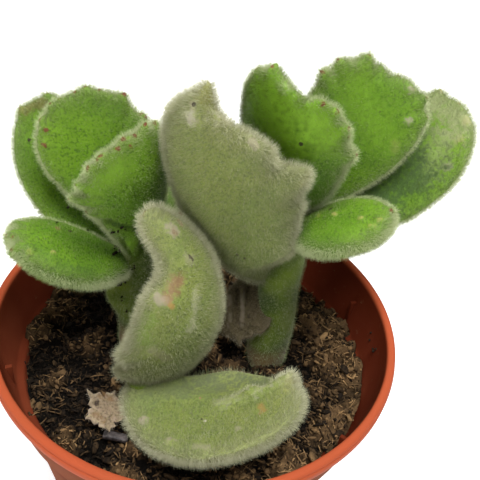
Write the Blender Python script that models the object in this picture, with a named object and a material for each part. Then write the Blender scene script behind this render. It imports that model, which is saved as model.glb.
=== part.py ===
"""A young bear's paw succulent in a 6.5 cm round nursery pot.

The pot is a thin turned cup with a rolled lip, a tapered collar, a stacking ledge and drain
holes. Two leafy stems and one short shoot stand in holes in the soil. Every leaf is a fat,
cupped blade with claws along its outer margin, and springs from the surface of its stem.

Sizes are in millimetres. The origin is the middle of the pot's flat underside, +Z is up, and
the side with the folded front leaf faces -Y.
"""

import math
from dataclasses import dataclass

import bmesh
import bpy
from mathutils import Matrix, Vector

MM = 0.001

# Pot
POT_HEIGHT = 55.0
LIP_RADIUS = 32.5
LIP_WIDTH = 1.5
LIP_DEPTH = 2.4
WALL = 1.0
COLLAR_DEPTH = 9.3
COLLAR_FOOT_RADIUS = 29.6
LEDGE = 1.3
BODY_TOP_RADIUS = 28.5
BASE_RADIUS = 20.8
BASE_THICKNESS = 1.3
POT_STEPS = 56
DRAIN_HOLES = 6
DRAIN_RADIUS = 2.3
DRAIN_CIRCLE = 13.0
RIBS = 6
RIB_SIZE = (1.2, 0.7, 4.0)
RIB_HEIGHT = 49.0

# Soil
SOIL_TOP = 45.4
SOIL_RISE = 0.45
SOIL_LUMP = 0.28
SOIL_CLEARANCE = 0.35
SOIL_RINGS = 8
HOLE_CLEARANCE = 0.6
HOLE_FLOOR = 38.0

# Leaves
LEAF_SEGMENTS = 48
LEAF_RINGS = 6
LEAF_CENTRE = 0.55
FOOT_HALF_WIDTH = 1.6
FOOT_GAP = 0.6
PILLOW = 0.8
GREEN = (0.15, 0.33, 0.05)
GREY_GREEN = (0.25, 0.3, 0.13)
LEAF_COLOURS = {
    "leaf_centre_tall": GREY_GREEN,
    "leaf_front_upright": GREY_GREEN,
    "leaf_front_folded": GREY_GREEN,
    "leaf_withered": (0.13, 0.1, 0.07),
    "leaf_dead": (0.3, 0.27, 0.22),
}

# The chip of bark on the soil
CHIP_SIZE = (3.8, 1.3, 0.8)
CHIP_PLACE = (-10.3, -18.4, 46.4)
CHIP_TURN = -8.0


@dataclass(frozen=True)
class Stem:
    """A round stem from the floor of its hole to its top, with a radius at each end."""

    name: str
    base: tuple[float, float, float]
    top: tuple[float, float, float]
    base_radius: float
    top_radius: float

    def at(self, height: float) -> tuple[Vector, float]:
        """The point of the axis at this height, and the radius there."""
        share = (height - self.base[2]) / (self.top[2] - self.base[2])
        point = Vector(self.base).lerp(Vector(self.top), share)
        return point, self.base_radius + share * (self.top_radius - self.base_radius)


@dataclass(frozen=True)
class Leaf:
    """One fat leaf, from its foot to its tip, with the upper side turned to `facing`.

    `bow` and `sweep` bend its middle towards the upper side and sideways, `cup` lifts its
    margins, and `widest` is where it is widest, from foot (0) to tip (1). A claw is an angle
    round the margin from the tip, in degrees, and its height.
    """

    name: str
    foot: tuple[float, float, float]
    tip: tuple[float, float, float]
    facing: tuple[float, float, float]
    width: float
    thickness: float
    widest: float = 0.6
    bow: float = 0.0
    sweep: float = 0.0
    cup: float = 0.0
    twist: float = 0.0
    claws: tuple[tuple[float, float], ...] = ()


def on_stem(stem: Stem, height: float, azimuth: float) -> tuple[float, float, float]:
    """The place of a leaf's foot, just off the stem's surface."""
    axis, radius = stem.at(height)
    turn = math.radians(azimuth)
    reach = radius + FOOT_GAP
    return (axis.x + reach * math.cos(turn), axis.y + reach * math.sin(turn), height)


STEM_LEFT = Stem("stem_left", (-11.2, 3.2, HOLE_FLOOR + 0.4), (-10.4, 4.6, 66.5), 2.25, 1.8)
STEM_RIGHT = Stem("stem_right", (12.0, 2.2, HOLE_FLOOR + 0.4), (14.6, 3.2, 76.5), 2.7, 1.9)
STEM_FRONT = Stem("stem_front", (-7.8, -9.2, HOLE_FLOOR + 0.4), (-7.6, -9.4, 50.0), 1.9, 1.6)
STEMS = (STEM_LEFT, STEM_RIGHT, STEM_FRONT)

LEAVES = (
    Leaf(
        "leaf_left_low",
        foot=on_stem(STEM_LEFT, 62.0, -145),
        tip=(-27.5, -3.5, 70.5),
        facing=(0.45, 0.15, 0.9),
        width=12.5,
        thickness=5.4,
        widest=0.61,
        bow=-0.6,
        sweep=0.6,
        cup=0.2,
        claws=((-22.5, 0.7), (0, 0.7), (22.5, 0.7)),
    ),
    Leaf(
        "leaf_left_outer",
        foot=on_stem(STEM_LEFT, 61.5, 135),
        tip=(-28.0, 15.5, 82.0),
        facing=(0.2, -0.8, 0.55),
        width=15.5,
        thickness=3.4,
        widest=0.59,
        bow=-2.8,
        sweep=0.2,
        cup=2.4,
        twist=-5,
        claws=((-15, 0.8), (15, 0.8)),
    ),
    Leaf(
        "leaf_left_back",
        foot=on_stem(STEM_LEFT, 66.5, 150),
        tip=(-20.0, 9.5, 87.5),
        facing=(0.0, -1.0, 0.15),
        width=16.0,
        thickness=3.6,
        widest=0.68,
        bow=-0.8,
        sweep=-0.2,
        cup=2.4,
        claws=((-60, 1.5), (-37.5, 1.2), (-7.5, 0.7), (22.5, 0.6), (37.5, 0.5)),
    ),
    Leaf(
        "leaf_left_front",
        foot=on_stem(STEM_LEFT, 65.5, -85),
        tip=(-11.5, -2.5, 87.5),
        facing=(-0.65, 0.75, 0.1),
        width=13.5,
        thickness=3.6,
        widest=0.7,
        sweep=0.8,
        cup=1.6,
        twist=-5,
        claws=((-90, 0.8), (-75, 2.2), (-60, 1.2), (-37.5, 0.5), (-22.5, 0.5), (0, 0.5), (22.5, 0.8), (37.5, 1.2)),
    ),
    Leaf(
        "leaf_left_rear",
        foot=on_stem(STEM_LEFT, 64.5, 65),
        tip=(-4.5, 15.5, 70.0),
        facing=(-0.7, -0.1, 0.7),
        width=10.5,
        thickness=3.2,
        widest=0.66,
        bow=0.2,
        cup=1.2,
    ),
    Leaf(
        "leaf_left_small",
        foot=on_stem(STEM_LEFT, 54.0, 25),
        tip=(-3.5, 8.0, 66.5),
        facing=(-0.75, -0.5, 0.45),
        width=7.5,
        thickness=3,
        widest=0.49,
        bow=-1.0,
        sweep=2.4,
        cup=1.4,
        twist=5,
    ),
    Leaf(
        "leaf_right_low",
        foot=on_stem(STEM_RIGHT, 73.5, -85),
        tip=(25.0, -6.0, 81.0),
        facing=(-0.55, 0.1, 0.85),
        width=10.5,
        thickness=5.2,
        widest=0.58,
        bow=0.4,
        sweep=-0.6,
        twist=5,
        claws=((22.5, 0.6),),
    ),
    Leaf(
        "leaf_right_front",
        foot=on_stem(STEM_RIGHT, 77.0, -155),
        tip=(6.5, -1.0, 98.5),
        facing=(0.45, 0.85, 0.25),
        width=15.0,
        thickness=3.8,
        widest=0.56,
        bow=-0.2,
        sweep=0.6,
        cup=2.0,
        twist=25,
        claws=((-22.5, 0.5), (0, 0.9), (37.5, -0.8), (60, 0.6), (75, 0.7), (97.5, 1.2)),
    ),
    Leaf(
        "leaf_right_back",
        foot=on_stem(STEM_RIGHT, 76.2, 40),
        tip=(21.0, 9.0, 97.0),
        facing=(0.25, -0.95, 0.15),
        width=18.0,
        thickness=3.6,
        widest=0.67,
        bow=0.2,
        sweep=-0.2,
        cup=2.8,
        twist=-5,
        claws=((-60, 0.6), (-45, 0.9), (-7.5, 1.2), (15, -0.3), (30, 1.2), (45, 1.2)),
    ),
    Leaf(
        "leaf_right_outer",
        foot=on_stem(STEM_RIGHT, 72.5, 35),
        tip=(36.0, 13.0, 90.0),
        facing=(-0.4, -0.6, 0.7),
        width=16.5,
        thickness=3.6,
        widest=0.61,
        bow=-2.8,
        sweep=-0.6,
        cup=2.4,
        twist=5,
        claws=((22.5, 1.0), (45, 1.0)),
    ),
    Leaf(
        "leaf_right_rear",
        foot=on_stem(STEM_RIGHT, 68.5, 130),
        tip=(2.5, 14.5, 81.5),
        facing=(0.45, -0.55, 0.7),
        width=12.0,
        thickness=3.4,
        widest=0.55,
        bow=-0.6,
        sweep=1.8,
        cup=1.6,
        claws=((15, 0.9),),
    ),
    Leaf(
        "leaf_centre_tall",
        foot=on_stem(STEM_RIGHT, 63.5, -125),
        tip=(-2.0, -6.5, 96.5),
        facing=(0.25, 0.95, 0.3),
        width=17.0,
        thickness=4.6,
        widest=0.6,
        bow=-1.6,
        sweep=-2.0,
        cup=2.6,
        twist=35,
        claws=((7.5, 3.5), (30, -1.0), (52.5, 0.6), (75, 0.8), (97.5, 3.2), (105, 1.5)),
    ),
    Leaf(
        "leaf_front_upright",
        foot=on_stem(STEM_FRONT, 50.2, 10),
        tip=(-4.0, -5.0, 78.0),
        facing=(-0.5, 0.85, -0.1),
        width=12.5,
        thickness=5,
        widest=0.36,
        bow=-3.8,
        sweep=1.2,
        cup=1.4,
        claws=((-15, 2.8), (-127.5, 1.5), (-150, 1.5)),
    ),
    Leaf(
        "leaf_front_folded",
        foot=on_stem(STEM_FRONT, 48.0, -85),
        tip=(16.0, -16.0, 56.5),
        facing=(-0.3, 0.15, 0.95),
        width=17.5,
        thickness=4.5,
        widest=0.56,
        bow=-3.2,
        sweep=-2.8,
        cup=2.2,
        twist=10,
        claws=((22.5, 1.2),),
    ),
    Leaf(
        "leaf_withered",
        foot=on_stem(STEM_RIGHT, 58.0, 190),
        tip=(4.5, 0.5, 50.5),
        facing=(-0.3, -0.9, 0.3),
        width=5.5,
        thickness=1.4,
        bow=0.6,
        cup=0.6,
    ),
    Leaf(
        "leaf_dead",
        foot=(-10.2, -12.6, 47.3),
        tip=(-14.0, -16.6, 46.7),
        facing=(0.1, -0.1, 1.0),
        width=4.5,
        thickness=0.8,
        cup=0.4,
        claws=((-75, 1.2), (60, 0.8)),
    ),
)


def material(name: str, colour: tuple[float, float, float], roughness: float) -> bpy.types.Material:
    """A plain surface of one colour."""
    made = bpy.data.materials.new(name)
    made.use_nodes = True
    surface = made.node_tree.nodes["Principled BSDF"]
    surface.inputs["Base Color"].default_value = (*colour, 1.0)
    surface.inputs["Roughness"].default_value = roughness
    surface.inputs["Metallic"].default_value = 0.0
    made.diffuse_color = (*colour, 1.0)
    return made


def add_mesh(bm: bmesh.types.BMesh, name: str, made_of: bpy.types.Material) -> bpy.types.Object:
    """Turns a bmesh that was drawn in millimetres into an object in metres."""
    bmesh.ops.scale(bm, vec=(MM, MM, MM), verts=bm.verts)
    bmesh.ops.recalc_face_normals(bm, faces=bm.faces)
    mesh = bpy.data.meshes.new(name)
    bm.to_mesh(mesh)
    bm.free()
    mesh.materials.append(made_of)
    mesh.shade_smooth()
    obj = bpy.data.objects.new(name, mesh)
    bpy.context.collection.objects.link(obj)
    return obj


def turned(profile: list[tuple[float, float]], steps: int) -> bmesh.types.BMesh:
    """Spins a profile of (radius, height) points, both ends on the axis, into a closed body."""
    bm = bmesh.new()
    points = [bm.verts.new((radius, 0.0, height)) for radius, height in profile]
    edges = [bm.edges.new(pair) for pair in zip(points[:-1], points[1:])]
    bmesh.ops.spin(
        bm,
        geom=[*points, *edges],
        cent=(0, 0, 0),
        axis=(0, 0, 1),
        angle=math.tau,
        steps=steps,
        use_merge=True,
    )
    bmesh.ops.remove_doubles(bm, verts=bm.verts, dist=1e-4)
    return bm


def cut(body: bpy.types.Object, cutter: bpy.types.Object, operation: str) -> None:
    """Joins a hidden helper to the body, or takes it away from it."""
    cutter.hide_render = True
    cutter.display_type = "WIRE"
    modifier = body.modifiers.new(cutter.name, "BOOLEAN")
    modifier.operation = operation
    modifier.object = cutter


def collar_wall(height: float) -> float:
    """The radius of the collar's inner face at this height."""
    share = (POT_HEIGHT - height) / COLLAR_DEPTH
    top = LIP_RADIUS - LIP_WIDTH
    return top + share * (BODY_TOP_RADIUS + LEDGE - WALL - top)


def body_wall(height: float) -> float:
    """The radius of the wall's inner face below the ledge, at this height."""
    share = height / (POT_HEIGHT - COLLAR_DEPTH)
    return BASE_RADIUS + share * (BODY_TOP_RADIUS - BASE_RADIUS) - WALL


def make_pot() -> bpy.types.Object:
    """The pot: rolled lip, tapered collar, stacking ledge, wall, floor and drain holes."""
    ledge_height = POT_HEIGHT - COLLAR_DEPTH
    lip_foot = POT_HEIGHT - LIP_DEPTH
    inner_lip = LIP_RADIUS - LIP_WIDTH
    profile = [
        (0.0, BASE_THICKNESS),
        (DRAIN_CIRCLE, BASE_THICKNESS),
        (body_wall(BASE_THICKNESS), BASE_THICKNESS),
        (body_wall(ledge_height - 0.6), ledge_height - 0.6),
        (body_wall(ledge_height) + 0.1, ledge_height),
        (collar_wall(ledge_height), ledge_height + 0.1),
        (inner_lip, POT_HEIGHT - 0.4),
        (inner_lip + 0.3, POT_HEIGHT),
        (LIP_RADIUS - 0.5, POT_HEIGHT),
        (LIP_RADIUS - 0.1, POT_HEIGHT - 0.4),
        (LIP_RADIUS, POT_HEIGHT - 0.9),
        (LIP_RADIUS - 0.25, lip_foot + 0.3),
        (LIP_RADIUS - 0.55, lip_foot),
        (COLLAR_FOOT_RADIUS + 0.15, ledge_height - 1.2),
        (BODY_TOP_RADIUS, ledge_height - 1.9),
        (BASE_RADIUS, 0.8),
        (BASE_RADIUS - 0.7, 0.0),
        (DRAIN_CIRCLE, 0.0),
        (0.0, 0.0),
    ]
    clay = material("terracotta_plastic", (0.62, 0.17, 0.07), 0.45)
    pot = add_mesh(turned(profile, POT_STEPS), "pot", clay)
    cut(pot, drain_cutter(clay), "DIFFERENCE")
    cut(pot, rib_helper(clay), "UNION")
    return pot


def drain_cutter(made_of: bpy.types.Material) -> bpy.types.Object:
    """The pins that open the drain holes, in a ring about the middle of the floor."""
    bm = bmesh.new()
    for index in range(DRAIN_HOLES):
        turn = math.tau * (index + 0.5) / DRAIN_HOLES
        place = Matrix.Translation(
            (DRAIN_CIRCLE * math.cos(turn), DRAIN_CIRCLE * math.sin(turn), BASE_THICKNESS / 2)
        )
        bmesh.ops.create_cone(
            bm,
            cap_ends=True,
            segments=16,
            radius1=DRAIN_RADIUS,
            radius2=DRAIN_RADIUS,
            depth=BASE_THICKNESS * 3,
            matrix=place,
        )
    return add_mesh(bm, "drain_cutter", made_of)


def rib_helper(made_of: bpy.types.Material) -> bpy.types.Object:
    """The small upright ribs inside the collar, which keep stacked pots from jamming."""
    bm = bmesh.new()
    for index in range(RIBS):
        turn = math.tau * (index + 0.35) / RIBS
        out = collar_wall(RIB_HEIGHT) + 0.1
        place = (
            Matrix.Rotation(turn, 4, "Z")
            @ Matrix.Translation((out, 0, RIB_HEIGHT))
            @ Matrix.Diagonal((*RIB_SIZE, 1.0))
        )
        bmesh.ops.create_cube(bm, size=1.0, matrix=place)
    return add_mesh(bm, "rib_helper", made_of)


def soil_height(x: float, y: float) -> float:
    """The lumpy top of the soil, a little higher to the right."""
    lumps = math.sin(0.55 * x + 1.3) * math.cos(0.48 * y - 0.4) + 0.6 * math.sin(0.9 * x - 1.1 * y)
    return SOIL_TOP + SOIL_RISE * x / BODY_TOP_RADIUS + SOIL_LUMP * lumps


def make_soil() -> bpy.types.Object:
    """The soil: it fills the pot up to the ledge and has a plain hole for each stem."""
    low = BASE_THICKNESS + SOIL_CLEARANCE
    rim = body_wall(SOIL_TOP - 1.5) - SOIL_CLEARANCE
    rings = [(rim * ring / SOIL_RINGS, SOIL_TOP) for ring in range(SOIL_RINGS)]
    side = [
        (rim, SOIL_TOP - 0.7),
        (body_wall(SOIL_TOP / 2) - SOIL_CLEARANCE, SOIL_TOP / 2),
        (body_wall(low) - SOIL_CLEARANCE, low),
        (0.0, low),
    ]
    bm = turned(rings + side, POT_STEPS)
    for vert in bm.verts:
        if vert.co.z > SOIL_TOP - 0.1:
            vert.co.z = soil_height(vert.co.x, vert.co.y)
    earth = material("potting_soil", (0.055, 0.035, 0.022), 0.95)
    soil = add_mesh(bm, "soil", earth)
    cut(soil, hole_cutter(earth), "DIFFERENCE")
    return soil


def hole_cutter(made_of: bpy.types.Material) -> bpy.types.Object:
    """One round pin for each stem, a little wider than the stem."""
    bm = bmesh.new()
    top = SOIL_TOP + 3.0
    for stem in STEMS:
        middle, radius = stem.at((SOIL_TOP + HOLE_FLOOR) / 2)
        bmesh.ops.create_cone(
            bm,
            cap_ends=True,
            segments=20,
            radius1=radius + HOLE_CLEARANCE,
            radius2=radius + HOLE_CLEARANCE,
            depth=top - HOLE_FLOOR,
            matrix=Matrix.Translation((middle.x, middle.y, (top + HOLE_FLOOR) / 2)),
        )
    return add_mesh(bm, "hole_cutter", made_of)


def make_stem(stem: Stem) -> bpy.types.Object:
    """A tapered stem, swollen at the joints where leaves stood, as a curve with a round bevel."""
    count = 10
    curve = bpy.data.curves.new(stem.name, "CURVE")
    curve.dimensions = "3D"
    curve.bevel_depth = stem.base_radius * MM
    curve.bevel_resolution = 3
    curve.use_fill_caps = True
    spline = curve.splines.new("POLY")
    spline.points.add(count - 1)
    for index, point in enumerate(spline.points):
        share = index / (count - 1)
        height = stem.base[2] + share * (stem.top[2] - stem.base[2])
        axis, radius = stem.at(height)
        joint = 0.04 * math.cos(math.tau * share * 3)
        point.co = (*(axis * MM), 1.0)
        point.radius = radius / stem.base_radius - max(joint, -joint)
    curve.materials.append(material(stem.name + "_skin", (0.16, 0.2, 0.045), 0.7))
    obj = bpy.data.objects.new(stem.name, curve)
    bpy.context.collection.objects.link(obj)
    return obj


def outline(leaf: Leaf, length: float, angle: float) -> tuple[float, float]:
    """A point of the leaf's flat outline: how far along from the foot, and how far across."""
    along = (1 + math.cos(angle)) / 2
    blunt = along ** (math.log(0.5) / math.log(leaf.widest))
    half = leaf.width / 2 * math.sqrt(max(0.0, 4 * blunt * (1 - blunt)))
    half = math.copysign(half, math.sin(angle)) if abs(math.sin(angle)) > 1e-6 else 0.0
    across = half + FOOT_HALF_WIDTH * math.sin(angle) * (1 - along) ** 2
    reach = length * along
    step = math.tau / LEAF_SEGMENTS
    for degrees, height in leaf.claws:
        off = (angle - math.radians(degrees) + math.pi) % math.tau - math.pi
        if abs(off) < step / 2:
            outward = Vector((reach - LEAF_CENTRE * length, across)).normalized()
            reach += height * outward.x
            across += height * outward.y
    return reach, across


def bent(leaf: Leaf, reach: float, across: float, lift: float) -> Vector:
    """Carries a point of the flat leaf to its place on the bent, cupped and turned leaf."""
    foot = Vector(leaf.foot)
    chord = Vector(leaf.tip) - foot
    along = chord.normalized()
    facing = Vector(leaf.facing)
    up = (facing - facing.dot(along) * along).normalized()
    side = up.cross(along)
    share = reach / chord.length
    middle = foot + share * chord + 4 * share * (1 - share) * (leaf.bow * up + leaf.sweep * side)
    heading = (chord + 4 * (1 - 2 * share) * (leaf.bow * up + leaf.sweep * side)).normalized()
    up = (up - up.dot(heading) * heading).normalized()
    side = up.cross(heading)
    roll = math.radians(leaf.twist) * (share - 0.5)
    rolled_up = math.cos(roll) * up + math.sin(roll) * side
    rolled_side = math.cos(roll) * side - math.sin(roll) * up
    cupped = lift + leaf.cup * (2 * across / leaf.width) ** 2
    return middle + across * rolled_side + cupped * rolled_up


def make_leaf(leaf: Leaf, made_of: bpy.types.Material) -> bpy.types.Object:
    """A sphere pressed flat into a pillow, drawn out to the leaf's outline and bent."""
    length = (Vector(leaf.tip) - Vector(leaf.foot)).length
    bm = bmesh.new()
    bmesh.ops.create_uvsphere(bm, u_segments=LEAF_SEGMENTS, v_segments=LEAF_RINGS, radius=1.0)
    for vert in bm.verts:
        from_centre = math.hypot(vert.co.x, vert.co.y)
        reach, across = outline(leaf, length, math.atan2(vert.co.y, vert.co.x))
        reach = LEAF_CENTRE * length + from_centre * (reach - LEAF_CENTRE * length)
        swell = max(0.0, 1 - from_centre**2) ** (PILLOW / 2)
        lift = math.copysign(leaf.thickness / 2 * swell, vert.co.z) if swell > 1e-3 else 0.0
        vert.co = bent(leaf, reach, from_centre * across, lift)
    return add_mesh(bm, leaf.name, made_of)


def make_chip() -> bpy.types.Object:
    """The dark chip of bark that lies on the soil by the dead leaf."""
    bm = bmesh.new()
    place = Matrix.Translation(CHIP_PLACE) @ Matrix.Rotation(math.radians(CHIP_TURN), 4, "Z")
    bmesh.ops.create_cube(bm, size=1.0, matrix=place @ Matrix.Diagonal((*CHIP_SIZE, 1.0)))
    bmesh.ops.bevel(bm, geom=bm.edges[:], offset=0.25, segments=1, affect="EDGES")
    return add_mesh(bm, "bark_chip", material("bark", (0.03, 0.025, 0.025), 0.85))


def main() -> None:
    """Clears the scene and builds the plant in its pot."""
    for obj in list(bpy.data.objects):
        bpy.data.objects.remove(obj)
    make_pot()
    make_soil()
    for stem in STEMS:
        make_stem(stem)
    for leaf in LEAVES:
        make_leaf(leaf, material(leaf.name + "_skin", LEAF_COLOURS.get(leaf.name, GREEN), 0.7))
    make_chip()


if __name__ == "__main__":
    main()
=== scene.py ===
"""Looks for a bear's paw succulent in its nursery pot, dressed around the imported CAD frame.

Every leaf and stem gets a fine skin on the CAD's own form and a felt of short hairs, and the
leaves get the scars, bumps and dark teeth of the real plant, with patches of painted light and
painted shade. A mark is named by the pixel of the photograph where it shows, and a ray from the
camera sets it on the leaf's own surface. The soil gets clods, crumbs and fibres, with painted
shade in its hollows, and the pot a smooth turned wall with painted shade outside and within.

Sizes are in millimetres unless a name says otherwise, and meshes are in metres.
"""

import logging
import math
from collections.abc import Iterator, Sequence
from contextlib import contextmanager
from dataclasses import dataclass
from enum import Enum

import bpy
import numpy as np
from mathutils import Matrix, Vector, noise
from mathutils.bvhtree import BVHTree

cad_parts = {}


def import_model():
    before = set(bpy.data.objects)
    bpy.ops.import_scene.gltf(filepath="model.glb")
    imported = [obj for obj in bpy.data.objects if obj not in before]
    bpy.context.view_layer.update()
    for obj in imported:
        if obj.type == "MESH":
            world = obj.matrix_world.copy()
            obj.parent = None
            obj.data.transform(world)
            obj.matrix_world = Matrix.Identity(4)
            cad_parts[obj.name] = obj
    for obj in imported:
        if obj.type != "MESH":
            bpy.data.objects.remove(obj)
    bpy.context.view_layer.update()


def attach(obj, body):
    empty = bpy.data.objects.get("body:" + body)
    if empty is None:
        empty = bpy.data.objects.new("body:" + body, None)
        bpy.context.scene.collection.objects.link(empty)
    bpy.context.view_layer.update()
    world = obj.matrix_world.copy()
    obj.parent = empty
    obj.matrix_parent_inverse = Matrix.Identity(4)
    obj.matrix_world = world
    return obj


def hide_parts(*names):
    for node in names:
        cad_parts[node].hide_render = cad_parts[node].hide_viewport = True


LOG = logging.getLogger("succulent")
MM = 0.001
BODY = "root"
TINY = 1e-12
# Without a seed, Blender takes the offsets of noise_vector from the clock.
NOISE_SEED = 1795591852

Colour = tuple[float, float, float]
Point = tuple[float, float, float]
Pixel = tuple[float, float]


class Signal:
    """A shader value or vector that Python expressions can combine."""

    def __init__(self, finish: "Finish", socket: bpy.types.NodeSocket) -> None:
        """Wraps one output socket of a finish's node tree."""
        self.finish = finish
        self.socket = socket

    def _pair(self, operation: str, first: "Signal | float", second: "Signal | float") -> "Signal":
        """One Math node on two values."""
        return self.finish.node(
            "ShaderNodeMath", {"operation": operation}, {0: first, 1: second}
        )

    def __add__(self, other: "Signal | float") -> "Signal":
        """The sum of two values."""
        return self._pair("ADD", self, other)

    __radd__ = __add__

    def __sub__(self, other: "Signal | float") -> "Signal":
        """This value less another."""
        return self._pair("SUBTRACT", self, other)

    def __rsub__(self, other: float) -> "Signal":
        """A number less this value."""
        return self._pair("SUBTRACT", other, self)

    def __mul__(self, other: "Signal | float") -> "Signal":
        """The product of two values."""
        return self._pair("MULTIPLY", self, other)

    __rmul__ = __mul__

    def clamp(self) -> "Signal":
        """This value held between 0 and 1."""
        return self.finish.node("ShaderNodeClamp", {}, {0: self})

    def step(self, low: float, high: float) -> "Signal":
        """Rises smoothly from 0 at low to 1 at high, and falls if high is the smaller."""
        return self.finish.node(
            "ShaderNodeMapRange",
            {"interpolation_type": "SMOOTHSTEP"},
            {1: low, 2: high, 0: self},
        )


class Finish:
    """A node material with one Principled surface."""

    def __init__(self, name: str, roughness: float, **constants: float | Colour) -> None:
        """Starts the material.

        Args:
            name: The material's name.
            roughness: How rough the surface is.
            **constants: Socket values, with underscores for the spaces of a socket's name.
        """
        self.material = bpy.data.materials.new(name)
        self.material.use_nodes = True
        self.tree = self.material.node_tree
        self.surface = self.tree.nodes["Principled BSDF"]
        self.surface.inputs["Roughness"].default_value = roughness
        for key, value in constants.items():
            socket = self.surface.inputs[key.replace("_", " ")]
            if isinstance(value, tuple) and len(socket.default_value) == 4:
                value = (*value, 1.0)
            socket.default_value = value
        self.place = self.node("ShaderNodeTexCoord", {}, {}, output="Object")

    def node(
        self,
        kind: str,
        settings: dict[str, object],
        inputs: dict[int | str, "Signal | float | Colour"],
        output: int | str = 0,
    ) -> Signal:
        """Adds one node.

        Args:
            kind: The node's type.
            settings: Its settings, set first.
            inputs: A value or a link for each socket that is used.
            output: The output socket to hand on.

        Returns:
            The node's output.
        """
        made = self.tree.nodes.new(kind)
        for key, value in settings.items():
            setattr(made, key, value)
        for key, value in inputs.items():
            socket = made.inputs[key]
            if isinstance(value, Signal):
                self.tree.links.new(value.socket, socket)
            elif isinstance(value, tuple) and socket.type == "RGBA":
                socket.default_value = (*value, 1.0)
            else:
                socket.default_value = value
        return Signal(self, made.outputs[output])

    def noise(self, scale: float, detail: float = 3.0, roughness: float = 0.55) -> Signal:
        """Noise whose lumps are about 1 / scale metres across."""
        return self.node(
            "ShaderNodeTexNoise",
            {},
            {"Vector": self.place, "Scale": scale, "Detail": detail, "Roughness": roughness},
        )

    def attribute(self, name: str) -> Signal:
        """A number that the mesh carries at its points."""
        return self.node("ShaderNodeAttribute", {"attribute_name": name}, {}, output="Fac")

    def mix(self, share: "Signal | float", low: "Signal | Colour", high: "Signal | Colour") -> Signal:
        """Blends two colours."""
        return self.node("ShaderNodeMix", {"data_type": "RGBA"}, {0: share, 6: low, 7: high}, 2)

    def distance(self, path: Sequence[Vector]) -> Signal:
        """How far the surface is from a point or from a short straight line.

        Args:
            path: The point, or the line's two ends, in metres.

        Returns:
            The distance, in metres.
        """
        start = path[0]
        offset = self._vector("SUBTRACT", self.place, tuple(start))
        if len(path) > 1:
            line = path[-1] - start
            share = self._vector("DOT_PRODUCT", offset, tuple(line / line.length_squared), "Value")
            foot = self.node(
                "ShaderNodeVectorMath", {"operation": "SCALE"}, {0: tuple(line), 3: share.clamp()}
            )
            offset = self._vector("SUBTRACT", offset, foot)
        return self.node("ShaderNodeVectorMath", {"operation": "LENGTH"}, {0: offset}, "Value")

    def _vector(
        self, operation: str, first: Signal, second: "Signal | Point", output: int | str = 0
    ) -> Signal:
        """One Vector Math node."""
        return self.node(
            "ShaderNodeVectorMath", {"operation": operation}, {0: first, 1: second}, output
        )

    def colour(self, signal: Signal) -> None:
        """Feeds the surface's colour."""
        self.tree.links.new(signal.socket, self.surface.inputs["Base Color"])

    def roughness(self, signal: Signal) -> None:
        """Feeds the surface's roughness."""
        self.tree.links.new(signal.socket, self.surface.inputs["Roughness"])

    def bump(self, height: Signal, depth: float, strength: float = 1.0) -> None:
        """Raises the surface's shading by up to depth millimetres."""
        made = self.node(
            "ShaderNodeBump",
            {},
            {"Height": height, "Distance": depth * MM, "Strength": strength},
            output="Normal",
        )
        self.tree.links.new(made.socket, self.surface.inputs["Normal"])


@dataclass(frozen=True)
class PhotoView:
    """The photograph's viewpoint. Its place is in millimetres and its lens in pixels."""

    place: Point = (0.0, -81.35, 135.15)
    right: Point = (0.99427, 0.01842, 0.1053)
    up: Point = (-0.09397, 0.6202, 0.7788)
    side: int = 480
    focal: float = 700.0
    sensor: float = 36.0

    def ray(self, pixel: Pixel) -> tuple[Vector, Vector]:
        """The ray from the camera through a pixel.

        Args:
            pixel: The pixel, from the photograph's upper left corner.

        Returns:
            The ray's start, in metres, and its direction.
        """
        right, up = Vector(self.right), Vector(self.up)
        ahead = up.cross(right).normalized()
        across = (pixel[0] - self.side / 2) / self.focal
        down = (pixel[1] - self.side / 2) / self.focal
        return Vector(self.place) * MM, (ahead + across * right - down * up).normalized()

    def build(self) -> None:
        """Adds the camera and makes it the scene's."""
        data = bpy.data.cameras.new("photo_view")
        data.sensor_width = self.sensor
        data.lens = self.sensor * self.focal / self.side
        data.clip_start = 0.005
        camera = bpy.data.objects.new("photo_view", data)
        bpy.context.scene.collection.objects.link(camera)
        right, up = Vector(self.right), Vector(self.up)
        turn = Matrix((right, up, right.cross(up))).transposed().to_4x4()
        camera.matrix_world = Matrix.Translation(Vector(self.place) * MM) @ turn
        bpy.context.scene.camera = camera


def choose(obj: bpy.types.Object) -> None:
    """Selects one object alone and makes it the active one.

    Args:
        obj: The object.
    """
    bpy.ops.object.select_all(action="DESELECT")
    obj.select_set(True)
    bpy.context.view_layer.objects.active = obj


@contextmanager
def editing(obj: bpy.types.Object) -> Iterator[None]:
    """Opens one object in edit mode with all of it selected, and closes it again.

    Args:
        obj: The object.
    """
    choose(obj)
    bpy.ops.object.mode_set(mode="EDIT")
    bpy.ops.mesh.select_all(action="SELECT")
    yield
    bpy.ops.object.mode_set(mode="OBJECT")


def close_ends() -> None:
    """Fills the open ends of the mesh that is being edited, and turns its faces outwards."""
    bpy.ops.mesh.select_all(action="SELECT")
    bpy.ops.mesh.fill_holes(sides=0)
    bpy.ops.mesh.select_all(action="SELECT")
    bpy.ops.mesh.normals_make_consistent(inside=False)


def new_piece(name: str) -> bpy.types.Object:
    """The primitive that was just added, renamed, with its place put in its mesh.

    Args:
        name: Its new name.

    Returns:
        The object.
    """
    obj = bpy.context.active_object
    obj.name = name
    obj.data.name = name
    bpy.ops.object.transform_apply(location=True, rotation=True, scale=True)
    return obj


def apply(obj: bpy.types.Object, modifier: bpy.types.Modifier) -> None:
    """Applies one modifier.

    Args:
        obj: The object that has it.
        modifier: The modifier.
    """
    choose(obj)
    bpy.ops.object.modifier_apply(modifier=modifier.name)


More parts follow.
